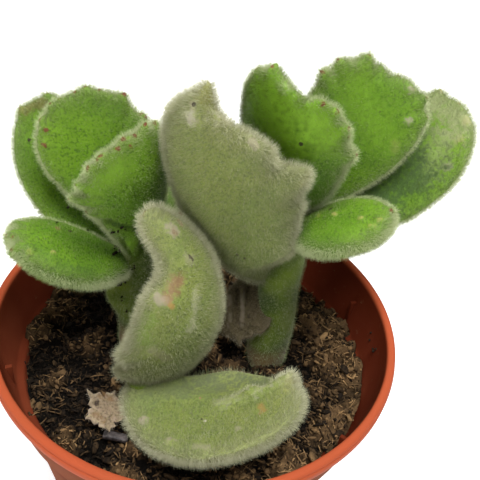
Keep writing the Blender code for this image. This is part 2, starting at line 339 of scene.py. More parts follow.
def settle(
    obj: bpy.types.Object, material: bpy.types.Material, slot: str, *nodes: str
) -> None:
    """Gives a piece its material and its body, hides the CAD nodes that it stands for and logs its
    slot.

    Args:
        obj: The piece.
        material: Its material.
        slot: The name of its slot, which is only logged.
        *nodes: The CAD nodes that it replaces.
    """
    obj.data.materials.clear()
    obj.data.materials.append(material)
    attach(obj, BODY)
    if nodes:
        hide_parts(*nodes)
    LOG.info("%s: %d points, slot %s, replaces %s", obj.name, len(obj.data.vertices), slot, nodes)


def set_values(obj: bpy.types.Object, name: str, values: np.ndarray) -> None:
    """Stores one number at each point of a mesh."""
    layer = obj.data.attributes.new(name, "FLOAT", "POINT")
    layer.data.foreach_set("value", np.asarray(values, np.float32))


def points_of(obj: bpy.types.Object) -> np.ndarray:
    """The points of a mesh, in metres.

    Args:
        obj: The mesh object.

    Returns:
        One row for each point.
    """
    flat = np.empty(len(obj.data.vertices) * 3)
    obj.data.vertices.foreach_get("co", flat)
    return flat.reshape(-1, 3)


def mesh_of(name: str, points: np.ndarray, faces: np.ndarray) -> bpy.types.Object:
    """Makes an object from arrays.

    Args:
        name: Its name.
        points: Its points, in metres.
        faces: Its faces, all with the same number of corners.

    Returns:
        The object, in the scene.
    """
    mesh = bpy.data.meshes.new(name)
    mesh.vertices.add(len(points))
    mesh.vertices.foreach_set("co", points.ravel())
    mesh.loops.add(faces.size)
    mesh.loops.foreach_set("vertex_index", faces.ravel())
    mesh.polygons.add(len(faces))
    mesh.polygons.foreach_set("loop_start", np.arange(0, faces.size, faces.shape[1]))
    mesh.update(calc_edges=True)
    obj = bpy.data.objects.new(name, mesh)
    bpy.context.scene.collection.objects.link(obj)
    return obj


def unit(vectors: np.ndarray) -> np.ndarray:
    """The vectors at length 1."""
    return vectors / np.maximum(np.linalg.norm(vectors, axis=1, keepdims=True), TINY)


def fade(share: float) -> float:
    """Falls smoothly from 1 where the share is 0 to 0 where it is 1."""
    return (1 - share * share) ** 2


def copies(
    name: str, points: np.ndarray, faces: np.ndarray, frames: np.ndarray, places: np.ndarray
) -> bpy.types.Object:
    """One mesh that holds a small shape many times over, each with its own turn and size.

    Args:
        name: The object's name.
        points: The shape's own points.
        faces: The shape's triangles.
        frames: For each copy, the three directions that the shape's axes go to, with their size.
        places: For each copy, where it goes.

    Returns:
        The object, whose "tone" attribute is left to the caller.
    """
    moved = np.einsum("pk,ckx->cpx", points, frames) + places[:, None, :]
    step = len(points)
    all_faces = faces[None] + (np.arange(len(places)) * step)[:, None, None]
    return mesh_of(name, moved.reshape(-1, 3), all_faces.reshape(-1, faces.shape[1]))


class Tint(Enum):
    """The colours of the marks on leaves; the last three are painted light and painted shade."""

    TOOTH = (0.13, 0.036, 0.014)
    CORK = (0.33, 0.28, 0.21)
    PINK = (0.3, 0.16, 0.095)
    PALE = (0.44, 0.42, 0.3)
    FELT = (0.3, 0.33, 0.15)
    DARK = (0.03, 0.018, 0.012)
    YELLOW = (0.34, 0.33, 0.09)
    ORANGE = (0.4, 0.19, 0.055)
    BROWN = (0.2, 0.12, 0.05)
    # Painted light: a lighter, yellower green where a leaf should look lit.
    BRIGHT = (0.19, 0.37, 0.015)
    # Painted shade: dark green where a leaf lies in shade.
    SHADE = (0.04, 0.08, 0.015)
    # Painted shade: dark grey-green where a leaf lies in shadow.
    DUSK = (0.11, 0.13, 0.06)


# Most hairs are left off under these tints; under the last, that lets its painted shade show on the
# skin.
BARE = (Tint.CORK, Tint.PINK, Tint.ORANGE, Tint.DARK, Tint.TOOTH, Tint.DUSK)
# How much lighter each tint makes the hairs: pale and felt are the felt's own colour, and the lit
# green, shade and grey shade entries are painted light and painted shade on the hairs.
FELT_PALING_AND_PAINTED_LIGHT = {Tint.PALE: 0.7, Tint.FELT: 0.5, Tint.BRIGHT: -0.5, Tint.SHADE: -1.1, Tint.DUSK: -0.6}


@dataclass(frozen=True)
class Mark:
    """A bump, scar or patch, at the pixel or along the line of the photograph where it shows.

    `radius` is its reach, `height` how far it stands up (or, below 0, sinks in), and `edge` how
    much of the radius its rim takes to fade.
    """

    name: str
    path: tuple[Pixel, ...]
    tint: Tint
    radius: float
    height: float = 0.0
    strength: float = 0.9
    edge: float = 0.5


@dataclass(frozen=True)
class Spot:
    """A mark that has been set on a leaf's surface, in metres, and the way that it faces."""

    path: tuple[Vector, ...]
    facing: Vector
    mark: Mark

    def distance(self, point: Vector) -> float:
        """How far a point is from the mark's middle or line.

        Args:
            point: The point, in metres.

        Returns:
            The distance, in metres.
        """
        start, end = self.path[0], self.path[-1]
        line = end - start
        if line.length_squared < TINY:
            return (point - start).length
        share = min(1.0, max(0.0, (point - start).dot(line) / line.length_squared))
        return (point - start - share * line).length


@dataclass(frozen=True)
class Pull:
    """A place on a skin that is drawn from one pixel of the photograph to another."""

    name: str
    start: Pixel
    end: Pixel
    radius: float


class Sculptor:
    """Finds places on a skin by pixels of the photograph, and draws parts of it about."""

    searches: int = 5

    def __init__(self, view: PhotoView, skin: bpy.types.Object) -> None:
        """Reads the skin as it is now.

        Args:
            view: The viewpoint of the pixels.
            skin: The skin.
        """
        self.view = view
        self.skin = skin
        self.tree = self.read()

    def read(self) -> BVHTree:
        """A search tree of the skin.

        Blender may number a primitive's faces otherwise each run, so they are sorted.

        Returns:
            The tree.
        """
        mesh = self.skin.data
        faces = sorted(tuple(face.vertices) for face in mesh.polygons)
        return BVHTree.FromPolygons([vert.co for vert in mesh.vertices], faces)

    def hit(self, pixel: Pixel) -> tuple[Vector, Vector]:
        """Where the photograph's pixel lies on the skin, and the way that the skin faces there.

        A ray that misses the skin gives the skin's point nearest to it.

        Args:
            pixel: The pixel.

        Returns:
            The place, in metres, and the direction.
        """
        met = self.meet(pixel)
        if met is not None:
            return met
        start, heading = self.view.ray(pixel)
        near, facing = self.tree.find_nearest(start)[:2]
        for _ in range(self.searches):
            reach = (near - start).dot(heading)
            near, facing = self.tree.find_nearest(start + heading * reach)[:2]
        return near, facing

    def meet(self, pixel: Pixel) -> tuple[Vector, Vector] | None:
        """Where the pixel's ray meets the skin and the way that it faces, if it meets it."""
        place, facing = self.tree.ray_cast(*self.view.ray(pixel))[:2]
        return (place, facing) if place is not None else None

    def pull(self, pulls: Sequence[Pull]) -> None:
        """Makes each pull in turn, fading it out over its radius.

        Args:
            pulls: The pulls.
        """
        for pull in pulls:
            place = self.hit(pull.start)[0]
            start, heading = self.view.ray(pull.end)
            depth = (place - start).length
            from_heading = self.view.ray(pull.start)[1]
            along = depth * heading.dot(from_heading)
            move = start + heading * along - place
            for vert in self.skin.data.vertices:
                share = (vert.co - place).length / (pull.radius * MM)
                if share < 1:
                    vert.co += move * fade(share)
            self.skin.data.update()
            self.tree = self.read()


def teeth(*pixels: Pixel) -> tuple[Mark, ...]:
    """Small red-brown teeth on a margin."""
    return tuple(
        Mark("tooth", (pixel,), Tint.TOOTH, radius=0.42, height=0.3, strength=0.95, edge=0.6)
        for pixel in pixels
    )


def bump(x: float, y: float, tint: Tint = Tint.CORK, radius: float = 0.7) -> Mark:
    """A raised bump with a coloured head."""
    return Mark("bump", ((x, y),), tint, radius, height=0.4, strength=0.75, edge=0.8)


def fleck(x: float, y: float, radius: float = 0.3) -> Mark:
    """A tiny dark fleck."""
    return Mark("fleck", ((x, y),), Tint.DARK, radius, strength=0.9, edge=0.4)


HOLE_FLOOR = 38.4
FOOT_GAP = 0.6
FOOT_ROOT = 2.0
FOOT_HALF_WIDTH = 1.6
ROOT_FADE = 6
LEAF_CENTRE = 0.55
PILLOW = 0.8
LEAST_CLAW = 0.45
CLAW_SLOPE = 1.25
CLAW_HALF_ANGLE = math.radians(8.5)
ON_AXIS = 1e-6
EDGE_ON = 1e-3


@dataclass(frozen=True)
class Flare:
    """A stretch of a stem that is thicker than its taper, where leaves spring from it."""

    height: float
    reach: float
    swell: float


@dataclass(frozen=True)
class Stem:
    """A stem's axis and thickness, as in the CAD, with its own flares and pulls."""

    name: str
    base: Point
    top: Point
    base_radius: float
    top_radius: float
    flares: tuple[Flare, ...] = ()
    pulls: tuple[Pull, ...] = ()

    def at(self, height: float) -> tuple[Vector, float]:
        """The stem's middle and its radius at a height.

        Args:
            height: The height, in millimetres.

        Returns:
            The point of the axis, and the radius.
        """
        share = (height - self.base[2]) / (self.top[2] - self.base[2])
        point = Vector(self.base).lerp(Vector(self.top), share)
        return point, self.base_radius + share * (self.top_radius - self.base_radius)

    def foot(self, height: float, azimuth: float) -> Point:
        """Where the foot of a leaf stands, just off the stem.

        Args:
            height: Its height.
            azimuth: Its direction from the axis, in degrees.

        Returns:
            The place.
        """
        axis, radius = self.at(height)
        turn = math.radians(azimuth)
        reach = radius + FOOT_GAP
        return (axis.x + reach * math.cos(turn), axis.y + reach * math.sin(turn), height)


STEM_LEFT = Stem(
    "stem_left",
    base=(-11.2, 3.2, HOLE_FLOOR),
    top=(-10.4, 4.6, 66.5),
    base_radius=2.25,
    top_radius=1.8,
    flares=(Flare(62.0, 7.0, 1.3), Flare(53.5, 2.5, 0.35)),
    pulls=(
        Pull("broad foot of the low leaf", (118, 287), (108, 286), 6.0),
        Pull("left side under it", (122, 308), (117, 307), 6.0),
    ),
)
STEM_RIGHT = Stem(
    "stem_right",
    base=(12.0, 2.2, HOLE_FLOOR),
    top=(14.6, 3.2, 76.5),
    base_radius=2.7,
    top_radius=1.9,
    flares=(Flare(58.0, 30.0, 1.0), Flare(74.5, 5.0, 0.7), Flare(64.0, 3.0, 0.3)),
    pulls=(Pull("stands more upright", (300, 272), (290, 273), 15.0),),
)
STEM_FRONT = Stem(
    "stem_front",
    base=(-7.8, -9.2, HOLE_FLOOR),
    top=(-7.6, -9.4, 50.0),
    base_radius=1.9,
    top_radius=1.6,
    flares=(Flare(49.5, 2.5, 0.7),),
)


@dataclass(frozen=True)
class Coat:
    """The skin and felt of one kind of leaf."""

    slot: str
    deep: Colour
    bright: Colour
    edge: Colour
    hair_low: Colour
    hair_high: Colour
    hairs_per_mm2: float
    hair_length: float
    fringe: float
    lean: float
    pale_rim: float = 0.5
    crumple: float = 0.12
    roughness: float = 0.72
    sheen: float = 0.25


GREEN = Coat(
    slot="leaf_green",
    deep=(0.05, 0.14, 0.003),
    bright=(0.16, 0.31, 0.004),
    edge=(0.19, 0.26, 0.06),
    hair_low=(0.13, 0.22, 0.012),
    hair_high=(0.5, 0.55, 0.3),
    hairs_per_mm2=21.0,
    hair_length=0.52,
    fringe=4.5,
    lean=0.5,
    pale_rim=0.85,
    sheen=0.1,
)
GREY = Coat(
    slot="leaf_grey",
    deep=(0.12, 0.18, 0.04),
    bright=(0.24, 0.27, 0.05),
    edge=(0.34, 0.35, 0.18),
    hair_low=(0.2, 0.23, 0.075),
    hair_high=(0.6, 0.59, 0.4),
    hairs_per_mm2=33.0,
    hair_length=0.68,
    fringe=2.4,
    lean=0.3,
)
WITHERED = Coat(
    slot="leaf_withered",
    deep=(0.06, 0.045, 0.02),
    bright=(0.13, 0.105, 0.055),
    edge=(0.18, 0.15, 0.09),
    hair_low=(0.12, 0.1, 0.055),
    hair_high=(0.28, 0.24, 0.16),
    hairs_per_mm2=22.0,
    hair_length=0.4,
    fringe=1.5,
    lean=0.3,
    crumple=0.5,
    roughness=0.9,
)
PAPERY = Coat(
    slot="leaf_dead",
    deep=(0.12, 0.085, 0.05),
    bright=(0.38, 0.29, 0.18),
    edge=(0.42, 0.34, 0.24),
    hair_low=(0.2, 0.17, 0.12),
    hair_high=(0.42, 0.37, 0.29),
    hairs_per_mm2=10.0,
    hair_length=0.25,
    fringe=1.0,
    lean=0.6,
    crumple=0.55,
    roughness=0.8,
)


@dataclass(frozen=True)
class Leaf:
    """One leaf: the CAD's own form, with its coat and its marks."""

    name: str
    foot: Point
    tip: Point
    facing: Point
    width: float
    thickness: float
    widest: float = 0.6
    bow: float = 0.0
    sweep: float = 0.0
    cup: float = 0.0
    twist: float = 0.0
    claws: tuple[tuple[float, float], ...] = ()
    coat: Coat = GREEN
    marks: tuple[Mark, ...] = ()
    pulls: tuple[Pull, ...] = ()
    root: float = FOOT_ROOT

    @property
    def length(self) -> float:
        """The straight distance from foot to tip."""
        return (Vector(self.tip) - Vector(self.foot)).length

    def outline(self, angle: float) -> tuple[float, float]:
        """A point of the flat outline: how far along from the foot, and how far across.

        Args:
            angle: Its angle round the margin from the tip, in radians.

        Returns:
            The two distances.
        """
        along = (1 + math.cos(angle)) / 2
        blunt = along ** (math.log(0.5) / math.log(self.widest))
        half = self.width / 2 * math.sqrt(max(0.0, 4 * blunt * (1 - blunt)))
        half = math.copysign(half, math.sin(angle)) if abs(math.sin(angle)) > ON_AXIS else 0.0
        across = half + FOOT_HALF_WIDTH * math.sin(angle) * (1 - along) ** 2
        reach = self.length * along - self.root * (1 - along) ** ROOT_FADE
        for degrees, height in self.claws:
            off = (angle - math.radians(degrees) + math.pi) % math.tau - math.pi
            share = abs(off) / CLAW_HALF_ANGLE
            if share < 1:
                rise = height * (1 - share) ** CLAW_SLOPE
                outward = Vector((reach - LEAF_CENTRE * self.length, across)).normalized()
                reach += rise * outward.x
                across += rise * outward.y
        return reach, across

    def bent(self, reach: float, across: float, lift: float) -> Vector:
        """Carries a point of the flat leaf to its place on the bent, cupped and turned one.

        Args:
            reach: How far along the flat leaf it is.
            across: How far across.
            lift: How far above its middle.

        Returns:
            Its place, in millimetres.
        """
        foot = Vector(self.foot)
        chord = Vector(self.tip) - foot
        along = chord.normalized()
        facing = Vector(self.facing)
        up = (facing - facing.dot(along) * along).normalized()
        side = up.cross(along)
        share = reach / chord.length
        curve = self.bow * up + self.sweep * side
        middle = foot + share * chord + 4 * share * (1 - share) * curve
        heading = (chord + 4 * (1 - 2 * share) * curve).normalized()
        up = (up - up.dot(heading) * heading).normalized()
        side = up.cross(heading)
        roll = math.radians(self.twist) * (share - 0.5)
        rolled_up = math.cos(roll) * up + math.sin(roll) * side
        rolled_side = math.cos(roll) * side - math.sin(roll) * up
        cupped = lift + self.cup * (2 * across / self.width) ** 2
        return middle + across * rolled_side + cupped * rolled_up


LEAVES = (
    Leaf(
        "leaf_left_low",
        foot=STEM_LEFT.foot(62.0, -145),
        tip=(-27.5, -3.5, 70.5),
        facing=(0.45, 0.15, 0.9),
        width=12.5,
        thickness=5.4,
        widest=0.61,
        bow=-0.6,
        sweep=0.6,
        cup=0.2,
        claws=((-22.5, 0.7), (0, 0.7), (22.5, 0.7)),
        marks=(
            Mark("shaded back", ((40, 272), (92, 278)), Tint.SHADE, 2.6, 0.0, 0.35, 1.0),
            bump(30, 252, Tint.YELLOW, 0.6),
            bump(53, 253, Tint.YELLOW, 0.5),
            bump(58, 229, Tint.BROWN, 0.6),
            fleck(70, 231, 0.35),
            *teeth((13, 238), (8, 246), (11, 258)),
        ),
    ),
    Leaf(
        "leaf_left_outer",
        foot=STEM_LEFT.foot(61.5, 135),
        tip=(-28.0, 15.5, 82.0),
        facing=(0.2, -0.8, 0.55),
        width=15.5,
        thickness=3.4,
        widest=0.59,
        bow=-2.8,
        sweep=0.2,
        cup=2.4,
        twist=-5,
        claws=((-15, 0.8), (15, 0.8)),
        marks=(
            fleck(29, 140, 0.4),
            Mark("worn tip", ((22, 110), (42, 102)), Tint.BROWN, 1.4, 0.1, 0.55, 0.8),
            fleck(68, 207, 0.25),
        ),
    ),
    Leaf(
        "leaf_left_back",
        foot=STEM_LEFT.foot(66.5, 150),
        tip=(-20.0, 9.5, 87.5),
        facing=(0.0, -1.0, 0.15),
        width=16.0,
        thickness=3.6,
        widest=0.68,
        bow=-0.8,
        sweep=-0.2,
        cup=2.4,
        claws=((-60, 1.5), (-37.5, 1.2), (-7.5, 0.7), (22.5, 0.6), (37.5, 0.5)),
        marks=(
            *teeth((59, 98), (74, 90), (99.6, 86), (126, 93), (142, 112), (46, 130), (44, 145)),
        ),
    ),
    Leaf(
        "leaf_left_front",
        foot=STEM_LEFT.foot(65.5, -85),
        tip=(-11.5, -2.5, 87.5),
        facing=(-0.65, 0.75, 0.1),
        width=13.5,
        thickness=3.6,
        widest=0.7,
        sweep=0.8,
        cup=1.6,
        twist=-5,
        claws=(
            (-90, 0.8), (-75, 2.2), (-60, 1.2), (-37.5, 0.5), (-22.5, 0.5), (0, 0.5), (22.5, 0.8),
            (37.5, 1.2),
        ),
        marks=(
            *teeth((98, 159), (118, 149), (131, 147), (134, 136), (148, 121), (155, 124)),
            # Painted light on the shoulder and down the stalk, and painted shade in the crease at the
            # leaf's foot and in the stalk's grooves.
            Mark("bright shoulder", ((88, 188), (120, 170)), Tint.BRIGHT, 2.6, 0.0, 0.5, 0.9),
            Mark("crease at its foot", ((108, 222), (142, 231)), Tint.SHADE, 0.8, -0.5, 0.8, 1.0),
            Mark("groove of the stalk", ((143, 240), (140, 300)), Tint.SHADE, 0.7, -0.5, 0.9, 1.0),
            Mark("groove of the stalk", ((120, 240), (128, 300)), Tint.SHADE, 0.6, -0.4, 0.6, 1.0),
            Mark("lit stalk", ((131, 242), (134, 310)), Tint.BRIGHT, 1.0, 0.4, 0.6, 1.0),
        ),
    ),
    Leaf(
        "leaf_left_rear",
        foot=STEM_LEFT.foot(64.5, 65),
        tip=(-4.5, 15.5, 70.0),
        facing=(-0.7, -0.1, 0.7),
        width=10.5,
        thickness=3.2,
        widest=0.66,
        bow=0.2,
        cup=1.2,
    ),
    Leaf(
        "leaf_left_small",
        foot=STEM_LEFT.foot(54.0, 25),
        tip=(-3.5, 8.0, 66.5),
        facing=(-0.75, -0.5, 0.45),
        width=7.5,
        thickness=3.0,
        widest=0.49,
        bow=-1.0,
        sweep=2.4,
        cup=1.4,
        twist=5,
    ),
    Leaf(
        "leaf_right_low",
        foot=STEM_RIGHT.foot(73.5, -85),
        tip=(25.0, -6.0, 81.0),
        facing=(-0.55, 0.1, 0.85),
        width=10.5,
        thickness=5.2,
        widest=0.58,
        bow=0.4,
        sweep=-0.6,
        twist=5,
        claws=((22.5, 0.6),),
        marks=(
            # Painted light over the middle of the leaf.
            Mark("bright middle", ((322, 228), (350, 230)), Tint.BRIGHT, 2.0, 0.0, 0.2, 1.0),
            bump(319, 216, Tint.YELLOW, 0.5),
            bump(335, 214, Tint.YELLOW, 0.6),
            bump(361, 219, Tint.YELLOW, 0.6),
            bump(380, 220, Tint.YELLOW, 0.65),
            bump(372, 227, Tint.YELLOW, 0.65),
            *teeth((391, 211)),
            fleck(325, 198, 0.4),
        ),
    ),
    Leaf(
        "leaf_right_front",
        foot=STEM_RIGHT.foot(77.0, -155),
        tip=(6.5, -1.0, 98.5),
        facing=(0.45, 0.85, 0.25),
        width=15.0,
        thickness=3.8,
        widest=0.56,
        bow=-0.2,
        sweep=0.6,
        cup=2.0,
        twist=25,
        claws=((-22.5, 0.5), (0, 0.9), (37.5, -0.8), (60, 0.6), (75, 0.7), (97.5, 1.2)),
        marks=(
            Mark("bump with a pale ring", ((286, 88),), Tint.PALE, 0.85, 0.5, 0.7, 0.5),
            Mark("bump's head", ((286, 88),), Tint.PINK, 0.4, 0.2, 0.95, 0.4),
            *teeth((265, 72), (279, 62)),
            # Painted light on the swell, the top and the left side, which faces away from the key
            # lamp.
            Mark("yellowish swell", ((300, 114), (332, 130)), Tint.BRIGHT, 4.2, 0.0, 0.9, 1.0),
            Mark("bright top", ((268, 96), (278, 80)), Tint.BRIGHT, 3.8, 0.0, 0.7, 1.0),
            Mark("bright side", ((262, 104), (288, 150)), Tint.BRIGHT, 4.6, 0.0, 0.95, 1.0),
            *teeth((323, 104), (337, 112), (356, 139), (356, 155)),
            fleck(301, 144),
        ),
        pulls=(
            Pull("notch beside the tip", (309, 88), (302, 98), 4.5),
            Pull("corner beyond it", (318, 103), (319, 99), 3.0),
        ),
    ),
    Leaf(
        "leaf_right_back",
        foot=STEM_RIGHT.foot(76.2, 40),
        tip=(21.0, 9.0, 97.0),
        facing=(0.25, -0.95, 0.15),
        width=18.0,
        thickness=3.6,
        widest=0.67,
        bow=0.2,
        sweep=-0.2,
        cup=2.8,
        twist=-5,
        claws=((-60, 0.6), (-45, 0.9), (-7.5, 1.2), (15, -0.3), (30, 1.2), (45, 1.2)),
        marks=(
            Mark("corky bump", ((410, 89),), Tint.CORK, 0.95, 0.5, 0.7, 0.7),
            Mark("bump's head", ((408, 90),), Tint.TOOTH, 0.45, 0.1, 0.85, 0.6),
            Mark("corky bump", ((408, 121),), Tint.CORK, 0.8, 0.4, 0.6, 0.7),
            Mark("bump's head", ((408, 122),), Tint.PINK, 0.35, 0.1, 0.8, 0.6),
            *teeth((320, 71), (334, 58), (369, 56), (399, 73)),
            fleck(380, 112, 0.2),
            # Painted light over the middle of the leaf.
            Mark("bright middle", ((352, 92), (376, 130)), Tint.BRIGHT, 4.6, 0.0, 0.45, 1.0),
            Mark("yellowed patch", ((394, 142), (396, 150)), Tint.YELLOW, 0.8, 0.0, 0.25, 1.0),
        ),
        pulls=(
            Pull("corner cut off", (391, 59), (383, 67), 4.5),
            Pull("highest tooth", (366, 60), (369, 55), 2.5),
            Pull("valley between the teeth", (351, 58), (351, 62), 2.5),
        ),
    ),
    Leaf(
        "leaf_right_outer",
        foot=STEM_RIGHT.foot(72.5, 35),
        tip=(36.0, 13.0, 90.0),
        facing=(-0.4, -0.6, 0.7),
        width=16.5,
        thickness=3.6,
        widest=0.61,
        bow=-2.8,
        sweep=-0.6,
        cup=2.4,
        twist=5,
        claws=((22.5, 1.0), (45, 1.0)),
        marks=(
            Mark("orange patch", ((466, 121),), Tint.ORANGE, 1.0, 0.1, 0.7, 0.8),
            Mark("yellow patch", ((460, 139),), Tint.YELLOW, 1.2, 0.2, 0.6, 0.8),
            Mark("scar", ((447, 167),), Tint.CORK, 1.0, 0.2, 0.6, 0.8),
            Mark("scar's middle", ((447, 167),), Tint.DARK, 0.4, 0.1, 0.85, 0.6),
            *teeth((441, 92), (459, 104)),
            Mark("felted top", ((430, 98), (462, 120)), Tint.FELT, 4.5, 0.0, 0.85, 1.0),
            Mark("felted middle", ((440, 140), (430, 170)), Tint.FELT, 4.0, 0.0, 0.55, 1.0),
            Mark("shaded foot", ((372, 198), (416, 174)), Tint.SHADE, 6.5, 0.0, 0.9, 1.0),
            Mark("shaded behind", ((418, 130), (412, 160)), Tint.SHADE, 3.0, 0.0, 0.4, 1.0),
        ),
    ),
    Leaf(
        "leaf_right_rear",
        foot=STEM_RIGHT.foot(68.5, 130),
        tip=(2.5, 14.5, 81.5),
        facing=(0.45, -0.55, 0.7),
        width=12.0,
        thickness=3.4,
        widest=0.55,
        bow=-0.6,
        sweep=1.8,
        cup=1.6,
        claws=((15, 0.9),),
    ),
    Leaf(
        "leaf_centre_tall",
        foot=STEM_RIGHT.foot(63.5, -125),
        tip=(-2.0, -6.5, 96.5),
        facing=(0.25, 0.95, 0.3),
        width=17.0,
        thickness=4.6,
        widest=0.6,
        bow=-1.6,
        sweep=-2.0,
        cup=2.6,
        twist=35,
        claws=((7.5, 1.2), (52.5, 0.6), (75, 0.8), (97.5, 1.2)),
        coat=GREY,
        marks=(
            Mark("yellow-green tip", ((205, 84), (203, 92)), Tint.YELLOW, 2.0, 0.0, 0.55, 0.9),
            *teeth((208, 82)),
            Mark("dark spot", ((194, 106),), Tint.CORK, 0.9, 0.2, 0.6, 0.8),
            fleck(195, 105, 0.4),
            Mark("felted ridge", ((190, 117), (222, 118)), Tint.PALE, 1.1, 0.55, 0.75, 0.8),
            Mark("grey scar", ((191, 119), (198, 120)), Tint.CORK, 0.7, 0.1, 0.5, 0.8),
            Mark("scar on the shoulder", ((250, 142), (256, 146)), Tint.CORK, 0.8, 0.3, 0.6, 0.8),
            Mark("scar lower down", ((282, 158),), Tint.CORK, 0.7, 0.3, 0.6, 0.8),
            Mark("yellowish corner", ((304, 182),), Tint.YELLOW, 1.4, 0.0, 0.5, 0.9),
            fleck(228, 276, 0.3),
            fleck(240, 277, 0.25),
        ),
        pulls=(
            Pull("tip", (208, 92), (208, 83), 4.5),
            Pull("notch beside the tip", (234, 112), (223, 119), 5.0),
            Pull("right corner", (303, 190), (309, 178), 4.5),
            Pull("lower right side", (296, 266), (282, 256), 9.0),
            Pull("lower end", (282, 280), (264, 270), 8.0),
        ),
    ),
    Leaf(
        "leaf_front_upright",
        foot=STEM_FRONT.foot(50.2, 10),
        tip=(-4.0, -5.0, 78.0),
        facing=(-0.5, 0.85, -0.1),
        width=12.5,
        thickness=5.0,
        widest=0.36,
        bow=-3.8,
        sweep=1.2,
        cup=1.4,
        claws=((-127.5, 1.8), (-150, 1.8)),
        coat=GREY,
        marks=(
            Mark("pink tip", ((142, 212),), Tint.PINK, 0.6, 0.0, 0.6, 0.7),
            Mark("corky patch", ((169, 227), (174, 231)), Tint.CORK, 1.2, 0.5, 0.7, 0.9),
            Mark("its cracked middle", ((172, 229), (175, 234)), Tint.BROWN, 0.5, -0.3, 0.6, 0.9),
            Mark("dark red edge", ((180, 223),), Tint.PINK, 0.6, 0.1, 0.7, 0.7),
            Mark("pale ring", ((190, 258),), Tint.CORK, 1.1, 0.15, 0.45, 0.9),
            Mark("wound", ((189, 255), (193, 260)), Tint.DARK, 0.26, -0.2, 0.8, 0.6),
            Mark("brown patch", ((177, 282), (167, 298)), Tint.PINK, 1.3, -0.2, 0.65, 0.8),
            Mark("brown streak", ((181, 276), (177, 294)), Tint.BROWN, 0.7, -0.3, 0.7, 0.9),
            Mark("dark crack", ((171, 286), (174, 293)), Tint.DARK, 0.25, -0.3, 0.6, 0.8),
            Mark("corky white patch", ((157, 297), (160, 301)), Tint.CORK, 1.1, 0.25, 0.7, 0.8),
            Mark("red end", ((172, 306),), Tint.ORANGE, 0.6, 0.1, 0.5, 0.8),
            Mark("grey streak", ((152, 352), (166, 358)), Tint.CORK, 1.5, 0.0, 0.35, 0.9),
            Mark("tan tooth", ((125, 369),), Tint.CORK, 0.9, 0.2, 0.7, 0.7),
            Mark("pale inner ridge", ((195, 290), (190, 330)), Tint.PALE, 0.8, 0.25, 0.4, 0.9),
            # Painted light over the middle of the leaf.
            Mark("bright middle", ((150, 318), (140, 342)), Tint.BRIGHT, 2.0, 0.0, 0.3, 0.9),
        ),
        pulls=(
            Pull("tip leans left", (163, 212), (147, 211), 9.0),
            Pull("left side under the tip", (157, 228), (150, 228), 5.0),
            Pull("hollow left side", (151, 258), (164, 259), 7.0),
            Pull("right side", (221, 272), (213, 272), 8.0),
            Pull("gap between the teeth", (116, 357), (123, 357), 2.6),
            Pull("lower tooth", (119, 372), (117, 373), 2.2),
        ),
    ),
    Leaf(
        "leaf_front_folded",
        foot=STEM_FRONT.foot(48.0, -85),
        tip=(16.0, -16.0, 56.5),
        facing=(-0.3, 0.15, 0.95),
        width=17.5,
        thickness=4.5,
        widest=0.56,
        bow=-3.2,
        sweep=-2.8,
        cup=2.2,
        twist=10,
        claws=((22.5, 1.2),),
        coat=GREY,
        marks=(
            Mark("folded ridge", ((290, 378), (252, 393)), Tint.PALE, 1.3, 0.9, 0.7, 1.0),
            Mark("fading ridge", ((252, 393), (218, 406)), Tint.PALE, 1.3, 0.7, 0.45, 1.0),
            # Painted shade in the sunken hollow behind the ridge, and painted shadow cast by the
            # upright leaf above, both with most hairs left off.
            Mark("hollow behind it", ((196, 376), (262, 376)), Tint.DUSK, 3.2, -1.0, 0.9, 1.0),
            Mark("grey felt in it", ((150, 388), (222, 388)), Tint.DUSK, 3.0, 0.0, 0.6, 1.0),
            Mark("red fleck", ((200, 398),), Tint.PINK, 0.35, 0.0, 0.8, 0.5),
            Mark("white fleck", ((205, 421),), Tint.PALE, 0.35, 0.1, 0.9, 0.4),
            fleck(202, 419, 0.25),
            Mark("orange patch", ((261, 406), (263, 411)), Tint.ORANGE, 0.8, 0.0, 0.5, 0.8),
            Mark("scar", ((238, 429),), Tint.CORK, 0.9, 0.15, 0.55, 0.8),
            bump(144, 420, Tint.CORK, 1.0),
            bump(170, 441, Tint.CORK, 1.0),
            Mark("pale patch", ((196, 446), (206, 448)), Tint.CORK, 0.9, 0.1, 0.4, 0.9),
            Mark("yellowish tip", ((290, 380), (288, 388)), Tint.YELLOW, 1.2, 0.0, 0.4, 0.9),
        ),
    ),
    Leaf(
        "leaf_withered",
        foot=STEM_RIGHT.foot(58.0, 190),
        tip=(4.5, 0.5, 50.5),
        facing=(-0.3, -0.9, 0.3),
        width=6.8,
        thickness=1.2,
        widest=0.5,
        bow=0.6,
        cup=1.0,
        claws=((-60, -0.8), (-30, 0.6), (15, -0.7), (52.5, 0.7), (90, -0.6)),
        coat=WITHERED,
        marks=(
            Mark("dark crease", ((238, 290), (236, 322)), Tint.DARK, 0.5, -0.4, 0.6, 0.9),
            Mark("dark crease", ((248, 288), (248, 316)), Tint.DARK, 0.5, -0.4, 0.6, 0.9),
            Mark("pale crease", ((229, 296), (230, 326)), Tint.CORK, 0.5, 0.3, 0.4, 0.9),
            Mark("pale crease", ((243, 288), (242, 326)), Tint.CORK, 0.5, 0.3, 0.4, 0.9),
        ),
        pulls=(Pull("hangs from the stem", (243, 292), (243, 280), 5.0),),
        root=1.0,
    ),
    Leaf(
        "leaf_dead",
        foot=(-10.2, -12.6, 47.3),
        tip=(-14.0, -16.6, 46.7),
        facing=(0.1, -0.1, 1.0),
        width=5.6,
        thickness=0.8,
        cup=0.9,
        claws=(
            (-150, 0.7), (-120, -1.1), (-75, 1.4), (-45, -0.9), (-15, 0.6), (15, -0.8), (52.5, 1.1),
            (82.5, -1.2), (112.5, 0.8),
        ),
        coat=PAPERY,
        marks=(
